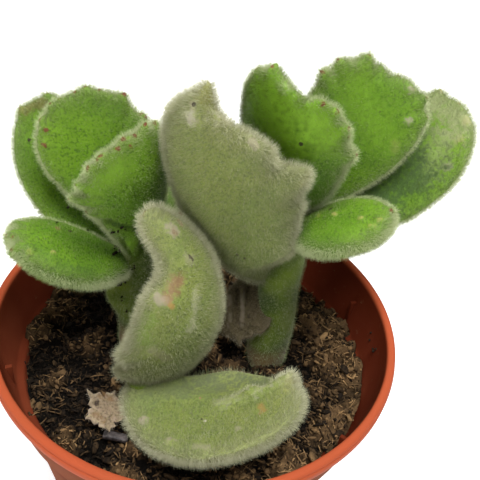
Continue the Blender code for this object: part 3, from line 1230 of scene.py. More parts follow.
            Mark("hole", ((97, 403),), Tint.DARK, 0.45, -0.3, 0.9, 0.6),
            Mark("torn slit", ((106, 409), (110, 415)), Tint.DARK, 0.4, -0.3, 0.9, 0.6),
            Mark("dark fold", ((101, 396), (112, 399)), Tint.BROWN, 0.6, -0.3, 0.7, 0.8),
            Mark("dark fold", ((94, 414), (104, 420)), Tint.BROWN, 0.6, -0.3, 0.7, 0.8),
        ),
        root=0.0,
    ),
)


@dataclass(frozen=True)
class Felt:
    """The short pale hairs of a leaf or stem, each one thin triangle.

    The lengths are shares of the coat's own hair length.
    """

    coat: Coat
    width: float = 0.04
    jitter: float = 0.27
    sink: float = 0.03
    shortest: float = 0.55
    longer: float = 0.6
    longer_at_rim: float = 0.9
    upright_at_rim: float = 0.6
    tone_range: float = 0.75
    patch_scale: float = 220.0

    @staticmethod
    def read(skin: bpy.types.Object) -> tuple[np.ndarray, np.ndarray, np.ndarray, np.ndarray]:
        """Reads a skin into arrays, with its triangles in an order that is the same each run.

        Args:
            skin: The skin.

        Returns:
            Its triangles' corners, its points, their normals and its triangles' doubled areas.
        """
        mesh = skin.data
        mesh.calc_loop_triangles()
        corners = np.empty(len(mesh.loop_triangles) * 3, np.int32)
        mesh.loop_triangles.foreach_get("vertices", corners)
        corners = corners.reshape(-1, 3)
        corners = corners[np.lexsort(corners.T)]
        normals = np.empty(len(mesh.vertices) * 3, np.float32)
        mesh.vertices.foreach_get("normal", normals)
        points = points_of(skin)
        sides = points[corners]
        cross = np.cross(sides[:, 1] - sides[:, 0], sides[:, 2] - sides[:, 0])
        return corners, points, normals.reshape(-1, 3), np.linalg.norm(cross, axis=1)

    def grow(
        self,
        skin: bpy.types.Object,
        rim: np.ndarray,
        hairy: np.ndarray,
        shift: np.ndarray,
        ahead: Vector,
        seed: int,
    ) -> bpy.types.Object:
        """Covers a skin with hairs.

        Args:
            skin: The surface that they grow from.
            rim: For each point of it, how near the margin it is, from 0 to 1.
            hairy: For each point of it, the share of hairs that grow there.
            shift: For each point of it, how much lighter its hairs are, below 0 darker; part of it is
                painted light and painted shade from the leaf's marks.
            ahead: The direction that they lean to.
            seed: The seed of their random places.

        Returns:
            The hairs, as one mesh.
        """
        draw = np.random.default_rng(seed)
        corners, points, normals, area = self.read(skin)
        edge = rim[corners].mean(axis=1)
        weight = area * (1 + self.coat.fringe * edge) * hairy[corners].mean(axis=1)
        count = int(weight.sum() / 2 / MM**2 * self.coat.hairs_per_mm2)
        chosen = draw.choice(len(corners), size=count, p=weight / weight.sum())
        shares = draw.dirichlet((1.0, 1.0, 1.0), size=count)
        root = np.einsum("ij,ijk->ik", shares, points[corners[chosen]])
        out = unit(np.einsum("ij,ijk->ik", shares, normals[corners[chosen]]))
        there = edge[chosen][:, None]
        lean = self.coat.lean * (1 - self.upright_at_rim * there)
        spread = self.jitter * draw.normal(size=out.shape)
        heading = unit(out + lean * np.array(ahead) + spread)
        long = self.shortest + self.longer * draw.random((count, 1))
        long *= self.coat.hair_length * (1 + self.longer_at_rim * there)
        tip = root + long * MM * heading
        across = unit(np.cross(heading, draw.normal(size=out.shape))) * self.width * MM / 2
        root = root - out * self.sink * MM
        triangles = np.stack([root + across, root - across, tip], axis=1).reshape(-1, 3)
        faces = np.arange(3 * count, dtype=np.int32).reshape(-1, 3)
        hairs = mesh_of(skin.name + "_felt", triangles, faces)
        tone = self.tone_range * draw.random(count) + self.coat.pale_rim * there[:, 0]
        tone += shift[corners].mean(axis=1)[chosen]
        set_values(hairs, "tone", np.repeat(tone, 3))
        return hairs

    def material(self) -> bpy.types.Material:
        """The hairs' own material, shared by all that have this coat.

        Returns:
            The material.
        """
        name = self.coat.slot + "_felt"
        if name in bpy.data.materials:
            return bpy.data.materials[name]
        finish = Finish(name, 0.6, Specular_IOR_Level=0.3)
        tone = finish.attribute("tone")
        patch = finish.noise(self.patch_scale, 2.0)
        share = (tone * 0.9 + patch * 0.5 - 0.2).clamp()
        finish.colour(finish.mix(share, self.coat.hair_low, self.coat.hair_high))
        return finish.material


@dataclass(frozen=True)
class LeafSkin:
    """A leaf's finish: mottled green, pale towards the margin, with its marks.

    Scales are in lumps per metre, and the other numbers say how strongly each thing shows.
    """

    broad_scale: float = 110.0
    patch_scale: float = 480.0
    crust_scale: float = 1300.0
    fine_scale: float = 2600.0
    broad_share: float = 1.1
    patch_share: float = 0.5
    tip_share: float = 0.35
    darkening: float = 0.5
    pits: float = 0.6
    pit_darkness: float = 0.45
    glints: float = 0.3
    pale_rim: float = 0.45
    torn_by_patches: float = 1.2
    torn_by_crust: float = 1.8
    mark_rim: float = 1.05
    bump_depth: float = 0.12

    def build(self, leaf: Leaf, spots: list[Spot]) -> bpy.types.Material:
        """Makes the material.

        Args:
            leaf: The leaf.
            spots: Its marks, set on its surface.

        Returns:
            The material.
        """
        coat = leaf.coat
        finish = Finish(
            leaf.name + "_skin",
            coat.roughness,
            Sheen_Weight=coat.sheen,
            Sheen_Roughness=0.45,
            Sheen_Tint=coat.hair_high,
            Specular_IOR_Level=0.35,
            Subsurface_Weight=0.12,
            Subsurface_Radius=(0.6, 1.0, 0.25),
            Subsurface_Scale=0.0012,
        )
        broad = finish.noise(self.broad_scale, 2.0)
        patches = finish.noise(self.patch_scale, 3.0)
        crust = finish.noise(self.crust_scale, 2.0)
        fine = finish.noise(self.fine_scale, 2.0, 0.6)
        along = finish.attribute("along")
        rim = finish.attribute("rim")
        share = broad * self.broad_share + patches * self.patch_share + along * self.tip_share
        colour = finish.mix((share - self.darkening).clamp(), coat.deep, coat.bright)
        dark = tuple(self.pit_darkness * part for part in coat.deep)
        colour = finish.mix(fine.step(0.5, 0.36) * self.pits, colour, dark)
        colour = finish.mix(fine.step(0.58, 0.7) * self.glints, colour, coat.edge)
        colour = finish.mix(rim * self.pale_rim, colour, coat.edge)
        ragged = (patches - 0.5) * self.torn_by_patches + (crust - 0.5) * self.torn_by_crust
        # Each mark's tint goes on here, painted light and painted shade among them.
        for spot in spots:
            radius = spot.mark.radius * MM
            reach = finish.distance(spot.path) + ragged * radius
            mask = reach.step(radius * self.mark_rim, radius * (self.mark_rim - spot.mark.edge))
            colour = finish.mix(mask * spot.mark.strength, colour, spot.mark.tint.value)
        finish.colour(colour)
        finish.bump(fine * 0.7 + patches * 0.6, self.bump_depth, 0.6)
        return finish.material


@dataclass(frozen=True)
class Foliage:
    """All leaves: their skins, marks and felt."""

    view: PhotoView
    leaves: Sequence[Leaf]
    segments: int = 176
    rings: int = 34
    rim_power: int = 6
    broad_wave: float = 0.32
    fine_wave: float = 0.9
    fine_share: float = 0.45
    mark_reach: float = 1.3
    bare_share: float = 0.85
    finish: LeafSkin = LeafSkin()

    def build(self) -> None:
        """Builds each leaf in turn."""
        for seed, leaf in enumerate(self.leaves, start=1):
            skin, values = self.shape(leaf)
            sculptor = Sculptor(self.view, skin)
            sculptor.pull(leaf.pulls)
            spots = self.find_spots(leaf, sculptor)
            hairy, shift = self.raise_marks(skin, spots)
            settle(skin, self.finish.build(leaf, spots), leaf.coat.slot, leaf.name)
            felt = Felt(leaf.coat)
            ahead = (Vector(leaf.tip) - Vector(leaf.foot)).normalized()
            hairs = felt.grow(skin, values["rim"] ** 2, hairy, shift, ahead, seed)
            settle(hairs, felt.material(), leaf.coat.slot)

    def shape(self, leaf: Leaf) -> tuple[bpy.types.Object, dict[str, np.ndarray]]:
        """Presses a sphere flat, draws it out to the leaf's outline and bends it.

        Args:
            leaf: The leaf.

        Returns:
            The skin, and its points' "rim" and "along" values.
        """
        bpy.ops.mesh.primitive_uv_sphere_add(
            segments=self.segments, ring_count=self.rings, radius=1.0
        )
        skin = new_piece(leaf.name + "_skin")
        ball = points_of(skin)
        radial = np.hypot(ball[:, 0], ball[:, 1])
        angles = np.arctan2(ball[:, 1], ball[:, 0])
        centre = LEAF_CENTRE * leaf.length
        placed = np.empty_like(ball)
        for index, (share, angle) in enumerate(zip(radial.tolist(), angles.tolist())):
            reach, across = leaf.outline(angle)
            reach = centre + share * (reach - centre)
            swell = max(0.0, 1 - share**2) ** (PILLOW / 2)
            lift = math.copysign(leaf.thickness / 2 * swell, float(ball[index, 2]))
            point = leaf.bent(reach, share * across, lift if swell > EDGE_ON else 0.0)
            crumple = leaf.coat.crumple
            wave = noise.noise_vector(point * self.broad_wave) * crumple
            wave += noise.noise_vector(point * self.fine_wave) * crumple * self.fine_share
            placed[index] = (point + wave) * MM
        skin.data.vertices.foreach_set("co", placed.ravel())
        skin.data.update()
        skin.data.shade_smooth()
        along = (1 + radial * np.cos(angles)) / 2
        values = {"rim": radial**self.rim_power, "along": along}
        for name, numbers in values.items():
            set_values(skin, name, numbers)
        return skin, values

    @staticmethod
    def find_spots(leaf: Leaf, sculptor: Sculptor) -> list[Spot]:
        """Sets the leaf's marks, and the heads of its claws, on its own surface.

        Args:
            leaf: The leaf.
            sculptor: What finds places on its skin.

        Returns:
            The spots.
        """
        spots = []
        for mark in leaf.marks:
            hits = [sculptor.hit(pixel) for pixel in mark.path]
            facing = sum((hit[1] for hit in hits), Vector()).normalized()
            spots.append(Spot(tuple(hit[0] for hit in hits), facing, mark))
        for degrees, height in leaf.claws:
            if height < LEAST_CLAW or leaf.coat is not GREEN:
                continue
            reach, across = leaf.outline(math.radians(degrees))
            head = leaf.bent(reach, across, 0.0) * MM
            claw = Mark("claw", (), Tint.TOOTH, radius=0.5, edge=0.7)
            spots.append(Spot((head,), Vector(), claw))
        return spots

    def raise_marks(
        self, skin: bpy.types.Object, spots: list[Spot]
    ) -> tuple[np.ndarray, np.ndarray]:
        """Lifts bumps and ridges out of the skin, and sinks its hollows.

        Args:
            skin: The skin.
            spots: The marks on it.

        Returns:
            For each point, the share of hairs that still grow there and how much lighter they are,
            below 0 darker, partly from painted light and painted shade.
        """
        hairy = np.ones(len(skin.data.vertices))
        shift = np.zeros(len(skin.data.vertices))
        for vert in skin.data.vertices:
            move = Vector()
            for spot in spots:
                share = spot.distance(vert.co) / (spot.mark.radius * MM * self.mark_reach)
                if share < 1:
                    full = fade(share)
                    side = min(1.0, 2 * max(0.0, vert.normal.dot(spot.facing)))
                    move += spot.facing * spot.mark.height * full * side
                    if spot.mark.tint in BARE:
                        hairy[vert.index] *= 1 - self.bare_share * min(1.0, 2 * full)
                    # Pale and felt marks lighten the hairs with the felt's own colour; the lit green,
                    # shade and grey shade marks carry painted light and painted shade onto them.
                    felt_paling_and_painted_light = FELT_PALING_AND_PAINTED_LIGHT.get(spot.mark.tint, 0.0) * spot.mark.strength
                    shift[vert.index] += felt_paling_and_painted_light * min(1.0, 1.5 * full) * side
            vert.co += move * MM
        skin.data.update()
        return hairy, shift


STEM_COAT = Coat(
    slot="stem",
    deep=(0.05, 0.09, 0.006),
    bright=(0.15, 0.22, 0.012),
    edge=(0.26, 0.29, 0.11),
    hair_low=(0.24, 0.3, 0.1),
    hair_high=(0.5, 0.52, 0.33),
    hairs_per_mm2=18.0,
    hair_length=0.6,
    fringe=0.0,
    lean=0.1,
)


@dataclass(frozen=True)
class StemSkin:
    """A stem's finish: olive green, browner and corkier towards the soil.

    Scales are in lumps per metre, and heights in metres.
    """

    broad_scale: float = 160.0
    fine_scale: float = 1500.0
    flecked: float = 0.5
    corky: float = 0.85
    ragged: float = 0.006
    cork_top: float = 0.0495
    cork_foot: float = 0.0455
    bump_depth: float = 0.2

    def build(self, stem: Stem) -> bpy.types.Material:
        """Makes the material.

        Args:
            stem: The stem.

        Returns:
            Its material.
        """
        finish = Finish(stem.name + "_skin", 0.75, Sheen_Weight=0.2, Specular_IOR_Level=0.3)
        broad = finish.noise(self.broad_scale, 3.0)
        fine = finish.noise(self.fine_scale, 3.0)
        height = finish.node("ShaderNodeSeparateXYZ", {}, {0: finish.place}, "Z")
        colour = finish.mix(broad.step(0.3, 0.7), STEM_COAT.deep, STEM_COAT.bright)
        colour = finish.mix(fine.step(0.5, 0.75) * self.flecked, colour, STEM_COAT.edge)
        low = (height + (broad - 0.5) * self.ragged).step(self.cork_top, self.cork_foot)
        colour = finish.mix(low * self.corky, colour, Tint.BROWN.value)
        finish.colour(colour)
        finish.bump(fine + broad, self.bump_depth, 0.7)
        return finish.material


@dataclass(frozen=True)
class Shoots:
    """The stems: knobbly round skins with felt, thickest where the leaves spring from them."""

    view: PhotoView
    stems: tuple[Stem, ...] = (STEM_LEFT, STEM_RIGHT, STEM_FRONT)
    first_seed: int = 101
    sides: int = 56
    rings: int = 60
    knob_height: float = 0.22
    knob_scale: float = 1.1
    rounding: float = 1.2
    top_share: float = 0.35
    knob_stretch: float = 0.35
    finish: StemSkin = StemSkin()

    def build(self) -> None:
        """Builds each stem in turn."""
        for seed, stem in enumerate(self.stems, start=self.first_seed):
            skin = self.shape(stem)
            Sculptor(self.view, skin).pull(stem.pulls)
            settle(skin, self.finish.build(stem), STEM_COAT.slot, stem.name)
            felt = Felt(STEM_COAT)
            flat = np.zeros(len(skin.data.vertices))
            hairs = felt.grow(skin, flat, flat + 1, flat, Vector((0, 0, 1)), seed)
            settle(hairs, felt.material(), STEM_COAT.slot)

    def shape(self, stem: Stem) -> bpy.types.Object:
        """Draws a circle up the stem's axis, ring by ring, and closes both ends.

        Args:
            stem: The stem.

        Returns:
            Its skin.
        """
        bpy.ops.mesh.primitive_circle_add(
            vertices=self.sides, radius=MM, location=(0, 0, stem.base[2] * MM)
        )
        skin = new_piece(stem.name + "_skin")
        rise = (stem.top[2] - stem.base[2]) / self.rings
        with editing(skin):
            for _ in range(self.rings):
                bpy.ops.mesh.extrude_edges_move()
                bpy.ops.transform.translate(value=(0, 0, rise * MM))
            close_ends()
        for vert in skin.data.vertices:
            height = vert.co.z / MM
            axis, radius = stem.at(height)
            for flare in stem.flares:
                radius += flare.swell * math.exp(-(((height - flare.height) / flare.reach) ** 2))
            close = min(1.0, (stem.top[2] - height) / self.rounding + self.top_share)
            around = Vector((vert.co.x, vert.co.y, 0)) / MM
            at = Vector((around.x, around.y, height * self.knob_stretch)) * self.knob_scale
            knobs = self.knob_height * noise.noise(at)
            place = axis + around * (radius * close + knobs)
            vert.co = Vector((place.x, place.y, height)) * MM
        skin.data.shade_smooth()
        return skin


@dataclass(frozen=True)
class Plastic:
    """The pot's finish: its own bright red at the lip, with painted shade darker outside and deep red
    within.

    Scales are in lumps per metre. The edges are in millimetres: `inner_edge` is how far outside
    the collar's inner face its colour starts and is full, and the others how far below the top.
    """

    bright: Colour = (0.4, 0.078, 0.03)
    # Painted shade: the outside below the lip, darker than the lip's own red.
    shaded_outside: Colour = (0.17, 0.05, 0.022)
    # Painted shade: the deep red of the inside, in the pot's shadow.
    deep: Colour = (0.1, 0.016, 0.006)
    scuff: Colour = (0.3, 0.08, 0.035)
    dirt: Colour = (0.16, 0.09, 0.05)
    inner_edge: tuple[float, float] = (0.55, 0.25)
    deep_edge: tuple[float, float] = (0.0, 0.9)
    # Where the outside's painted shade starts and is full, below the top.
    shaded_outside_edge: tuple[float, float] = (2.2, 4.5)
    broad_scale: float = 60.0
    grime_scale: float = 700.0
    scuffed: float = 0.25
    dirty: float = 0.5
    bump_depth: float = 0.06

    def build(self, pot: "Pot") -> bpy.types.Material:
        """Makes the material.

        Args:
            pot: The pot, whose sizes say where each colour goes.

        Returns:
            The material.
        """
        finish = Finish("pot_plastic", 0.42, Specular_IOR_Level=0.04)
        height = finish.node("ShaderNodeSeparateXYZ", {}, {0: finish.place}, "Z")
        level = finish.node(
            "ShaderNodeVectorMath", {"operation": "MULTIPLY"}, {0: finish.place, 1: (1.0, 1.0, 0.0)}
        )
        radius = finish.node("ShaderNodeVectorMath", {"operation": "LENGTH"}, {0: level}, "Value")
        broad = finish.noise(self.broad_scale, 3.0)
        grime = finish.noise(self.grime_scale, 4.0, 0.7)
        slope = pot.lip_radius - pot.lip_width - pot.collar_wall(pot.height - pot.collar_depth)
        slope = slope / pot.collar_depth
        face = radius - height * slope
        inner = pot.collar_wall(pot.height) - pot.height * slope
        inside = face.step(*((inner + edge) * MM for edge in self.inner_edge))
        inside = inside * height.step(*((pot.height - edge) * MM for edge in self.deep_edge))
        outer = height.step(*((pot.height - edge) * MM for edge in self.shaded_outside_edge))
        # Painted shade: the outside below the lip and the inside take darker copies of the lip's red.
        colour = finish.mix(outer, self.bright, self.shaded_outside)
        colour = finish.mix(inside, colour, self.deep)
        colour = finish.mix(broad.step(0.35, 0.7) * self.scuffed, colour, self.scuff)
        colour = finish.mix(grime.step(0.62, 0.75) * inside * self.dirty, colour, self.dirt)
        finish.colour(colour)
        finish.roughness(0.4 + grime * 0.25 + outer * 0.4)
        finish.bump(broad + grime * 0.2, self.bump_depth, 0.5)
        return finish.material


@dataclass(frozen=True)
class Pot:
    """The thin turned pot, in the CAD's own sizes."""

    height: float = 55.0
    lip_radius: float = 32.5
    lip_width: float = 1.5
    lip_depth: float = 2.4
    wall: float = 1.0
    collar_depth: float = 9.3
    collar_foot: float = 29.6
    ledge: float = 1.3
    body_top: float = 28.5
    base_radius: float = 20.8
    base_thickness: float = 1.3
    steps: int = 160
    drain_holes: int = 6
    drain_radius: float = 2.3
    drain_circle: float = 13.0
    ribs: int = 6
    rib_size: Point = (1.2, 0.7, 4.0)
    rib_height: float = 49.0
    rib_bevel: float = 0.18
    rib_phase: float = 0.35
    pin_length: float = 6.0
    pin_height: float = 0.5
    pin_sides: int = 32
    drain_phase: float = 0.5
    crease: float = 40.0
    finish: Plastic = Plastic()

    def collar_wall(self, height: float) -> float:
        """The radius of the collar's inner face at this height.

        Args:
            height: The height, in millimetres.

        Returns:
            The radius, in millimetres.
        """
        share = (self.height - height) / self.collar_depth
        top = self.lip_radius - self.lip_width
        return top + share * (self.body_top + self.ledge - self.wall - top)

    def body_wall(self, height: float) -> float:
        """The radius of the wall's inner face below the ledge, at this height.

        Args:
            height: The height, in millimetres.

        Returns:
            The radius, in millimetres.
        """
        share = height / (self.height - self.collar_depth)
        return self.base_radius + share * (self.body_top - self.base_radius) - self.wall

    def profile(self) -> list[tuple[float, float]]:
        """The wall's section from the middle of the floor, up over the lip and down to the base.

        Returns:
            The radius and the height of each of its points, in millimetres.
        """
        top = self.height
        lip = self.lip_radius
        inner = lip - self.lip_width
        step = top - self.collar_depth
        under = top - self.lip_depth
        floor = self.base_thickness
        return [
            (2.0, floor),
            (self.drain_circle + self.drain_radius + 1.0, floor),
            (self.body_wall(floor) - 0.5, floor),
            (self.body_wall(floor) + 0.1, floor + 0.6),
            (self.body_wall(step - 0.6), step - 0.6),
            (self.body_wall(step) + 0.1, step - 0.15),
            (self.body_wall(step) + 0.4, step),
            (self.collar_wall(step) - 0.3, step + 0.05),
            (self.collar_wall(step + 0.4), step + 0.4),
            (inner, top - 0.7),
            (inner + 0.06, top - 0.35),
            (inner + 0.2, top - 0.12),
            (inner + 0.42, top),
            (lip - 0.62, top),
            (lip - 0.35, top - 0.08),
            (lip - 0.16, top - 0.3),
            (lip - 0.12, top - 0.55),
            (lip - 0.24, top - 0.7),
            (lip - 0.06, top - 0.84),
            (lip, top - 1.1),
            (lip - 0.06, top - 1.9),
            (lip - 0.2, under + 0.12),
            (lip - 0.5, under),
            (lip - 0.85, under - 0.12),
            (self.collar_foot + 0.2, step - 0.9),
            (self.collar_foot, step - 1.2),
            (self.body_top + 0.15, step - 1.5),
            (self.body_top - 0.05, step - 2.0),
            (self.base_radius + 0.1, 1.2),
            (self.base_radius - 0.1, 0.5),
            (self.base_radius - 0.5, 0.1),
            (self.base_radius - 1.0, 0.0),
            (self.base_radius - 2.4, 0.0),
            (self.base_radius - 2.8, 0.35),
            (2.0, 0.35),
        ]

    def build(self) -> None:
        """Draws the section round ring by ring, adds the ribs and opens the drain holes."""
        section = self.profile()
        radius, height = section[0]
        bpy.ops.mesh.primitive_circle_add(
            vertices=self.steps, radius=radius * MM, location=(0, 0, height * MM)
        )
        shell = new_piece("pot_shell")
        with editing(shell):
            for (radius, height), (wider, higher) in zip(section[:-1], section[1:]):
                grow = wider / radius
                bpy.ops.mesh.extrude_edges_move()
                bpy.ops.transform.resize(value=(grow, grow, 1), center_override=(0, 0, 0))
                bpy.ops.transform.translate(value=(0, 0, (higher - height) * MM))
            close_ends()
        self.combine(shell, self.rib_pads(), "UNION")
        self.combine(shell, self.drain_pins(), "DIFFERENCE")
        with editing(shell):
            bpy.ops.mesh.faces_shade_smooth()
        bpy.ops.object.shade_smooth_by_angle(angle=math.radians(self.crease))
        settle(shell, self.finish.build(self), "pot", "pot")

    @staticmethod
    def combine(shell: bpy.types.Object, tool: bpy.types.Object, operation: str) -> None:
        """Joins a helper to the shell or cuts it away, and removes the helper.

        Args:
            shell: The pot's wall.
            tool: The helper.
            operation: The Boolean's operation.
        """
        modifier = shell.modifiers.new("combine", "BOOLEAN")
        modifier.operation = operation
        modifier.object = tool
        modifier.solver = "EXACT"
        apply(shell, modifier)
        bpy.data.objects.remove(tool)

    def rib_pads(self) -> bpy.types.Object:
        """The rounded ribs inside the collar, as one helper.

        Returns:
            The helper.
        """
        out = self.collar_wall(self.rib_height) + 0.1
        bpy.ops.mesh.primitive_cube_add(size=1.0, location=(0, 0, 0))
        pad = new_piece("rib_pads")
        with editing(pad):
            bpy.ops.transform.resize(value=tuple(side * MM for side in self.rib_size))
            bpy.ops.mesh.bevel(offset=self.rib_bevel * MM, segments=2, affect="EDGES")
        base = points_of(pad)
        faces = [tuple(face.vertices) for face in pad.data.polygons]
        points, all_faces = [], []
        for index in range(self.ribs):
            turn = math.tau * (index + self.rib_phase) / self.ribs
            spin = np.array(Matrix.Rotation(turn, 3, "Z"))
            moved = (base + np.array((out, 0, self.rib_height)) * MM) @ spin.T
            all_faces += [tuple(v + index * len(base) for v in face) for face in faces]
            points += moved.tolist()
        pad.data.clear_geometry()
        pad.data.from_pydata(points, [], all_faces)
        return pad

    def drain_pins(self) -> bpy.types.Object:
        """The pins that open the drain holes, as one helper.

        Returns:
            The helper.
        """
        pins = []
        for index in range(self.drain_holes):
            turn = math.tau * (index + self.drain_phase) / self.drain_holes
            x, y = self.drain_circle * math.cos(turn), self.drain_circle * math.sin(turn)
            bpy.ops.mesh.primitive_cylinder_add(
                vertices=self.pin_sides,
                radius=self.drain_radius * MM,
                depth=self.pin_length * MM,
                location=(x * MM, y * MM, self.pin_height * MM),
            )
            pins.append(new_piece(f"drain_pin_{index}"))
        bpy.ops.object.select_all(action="DESELECT")
        for pin in pins:
            pin.select_set(True)
        bpy.context.view_layer.objects.active = pins[0]
        bpy.ops.object.join()
        return pins[0]


@dataclass(frozen=True)
class Peat:
    """The soil's finish: dark peat, brown on the clods and nearly black in the hollows, that black
    being painted shade as well as damp peat.
    """

    # Painted shade with damp peat: the near black of the hollows.
    hollow: Colour = (0.003, 0.002, 0.001)
    clod: Colour = (0.13, 0.077, 0.035)
    speck: Colour = (0.17, 0.115, 0.06)
    grain_scale: float = 900.0
    broad_scale: float = 220.0
    specked: float = 0.6
    bump_depth: float = 0.7

    def build(self) -> bpy.types.Material:
        """Makes the material.

        Returns:
            The material.
        """
        finish = Finish("soil_body", 0.95, Specular_IOR_Level=0.15)
        relief = finish.attribute("relief")
        grain = finish.noise(self.grain_scale, 5.0, 0.7)
        broad = finish.noise(self.broad_scale, 3.0)
        # The lower the relief, the nearer the colour comes to the hollows' painted shade.
        share = (relief * 0.4 + 0.2 + (grain - 0.5) * 1.4 + (broad - 0.5) * 0.9).clamp()
        colour = finish.mix(share, self.hollow, self.clod)
        colour = finish.mix(grain.step(0.62, 0.72) * self.specked, colour, self.speck)
        finish.colour(colour)
        finish.bump(grain + broad, self.bump_depth)
        return finish.material


@dataclass(frozen=True)
class Litter:
    """The finish of the loose bits: each has its own tone, from near black to straw, darkened by
    painted shade where it lies low.
    """

    dark: Colour = (0.01, 0.006, 0.003)
    brown: Colour = (0.13, 0.077, 0.034)
    straw: Colour = (0.33, 0.2, 0.088)
    grain_scale: float = 1800.0
    bump_depth: float = 0.15

    def build(self) -> bpy.types.Material:
        """Makes the material.

        Returns:
            The material.
        """
        finish = Finish("soil_loose", 0.9, Specular_IOR_Level=0.2)
        grain = finish.noise(self.grain_scale, 3.0)
        tone = (finish.attribute("tone") + (grain - 0.5) * 0.5).clamp()
        low = finish.mix(tone.step(0.0, 0.55), self.dark, self.brown)
        finish.colour(finish.mix(tone.step(0.5, 1.0), low, self.straw))
        finish.bump(grain, self.bump_depth, 0.8)
        return finish.material


@dataclass(frozen=True)
class Bits:
    """One kind of loose bit on the soil.

    `clear` is how far it stays from the wall, `tilt` how far off level it lies, where 1 is about
    45 degrees, and `skew` and `tone_skew` how few of them are long or bright.
    """

    name: str
    seed: int
    count: int
    shortest: float
    longer: float
    skew: float
    clear: float
    tilt: float
    brightness: float
    tone_skew: float

    def lengths(self, draw: np.random.Generator) -> np.ndarray:
        """Their random lengths, in millimetres, as one column."""
        return self.shortest + self.longer * draw.random((self.count, 1)) ** self.skew


CRUMBS = Bits(
    "soil_crumbs",
    seed=11,
    count=4000,
    shortest=0.25,
    longer=0.7,
    skew=2.5,
    clear=0.2,
    tilt=0.8,
    brightness=0.55,
    tone_skew=1.4,
)
FLAKES = Bits(
    "soil_flakes",
    seed=12,
    count=1400,
    shortest=0.6,
    longer=1.5,
    skew=2.5,
    clear=0.5,
    tilt=0.5,
    brightness=0.8,
    tone_skew=1.3,
)
FIBRES = Bits(
    "soil_fibres",
    seed=13,
    count=5400,
    shortest=0.7,
    longer=1.6,
    skew=2.0,
    clear=0.6,
    tilt=0.42,
    brightness=1.0,
    tone_skew=1.1,
)


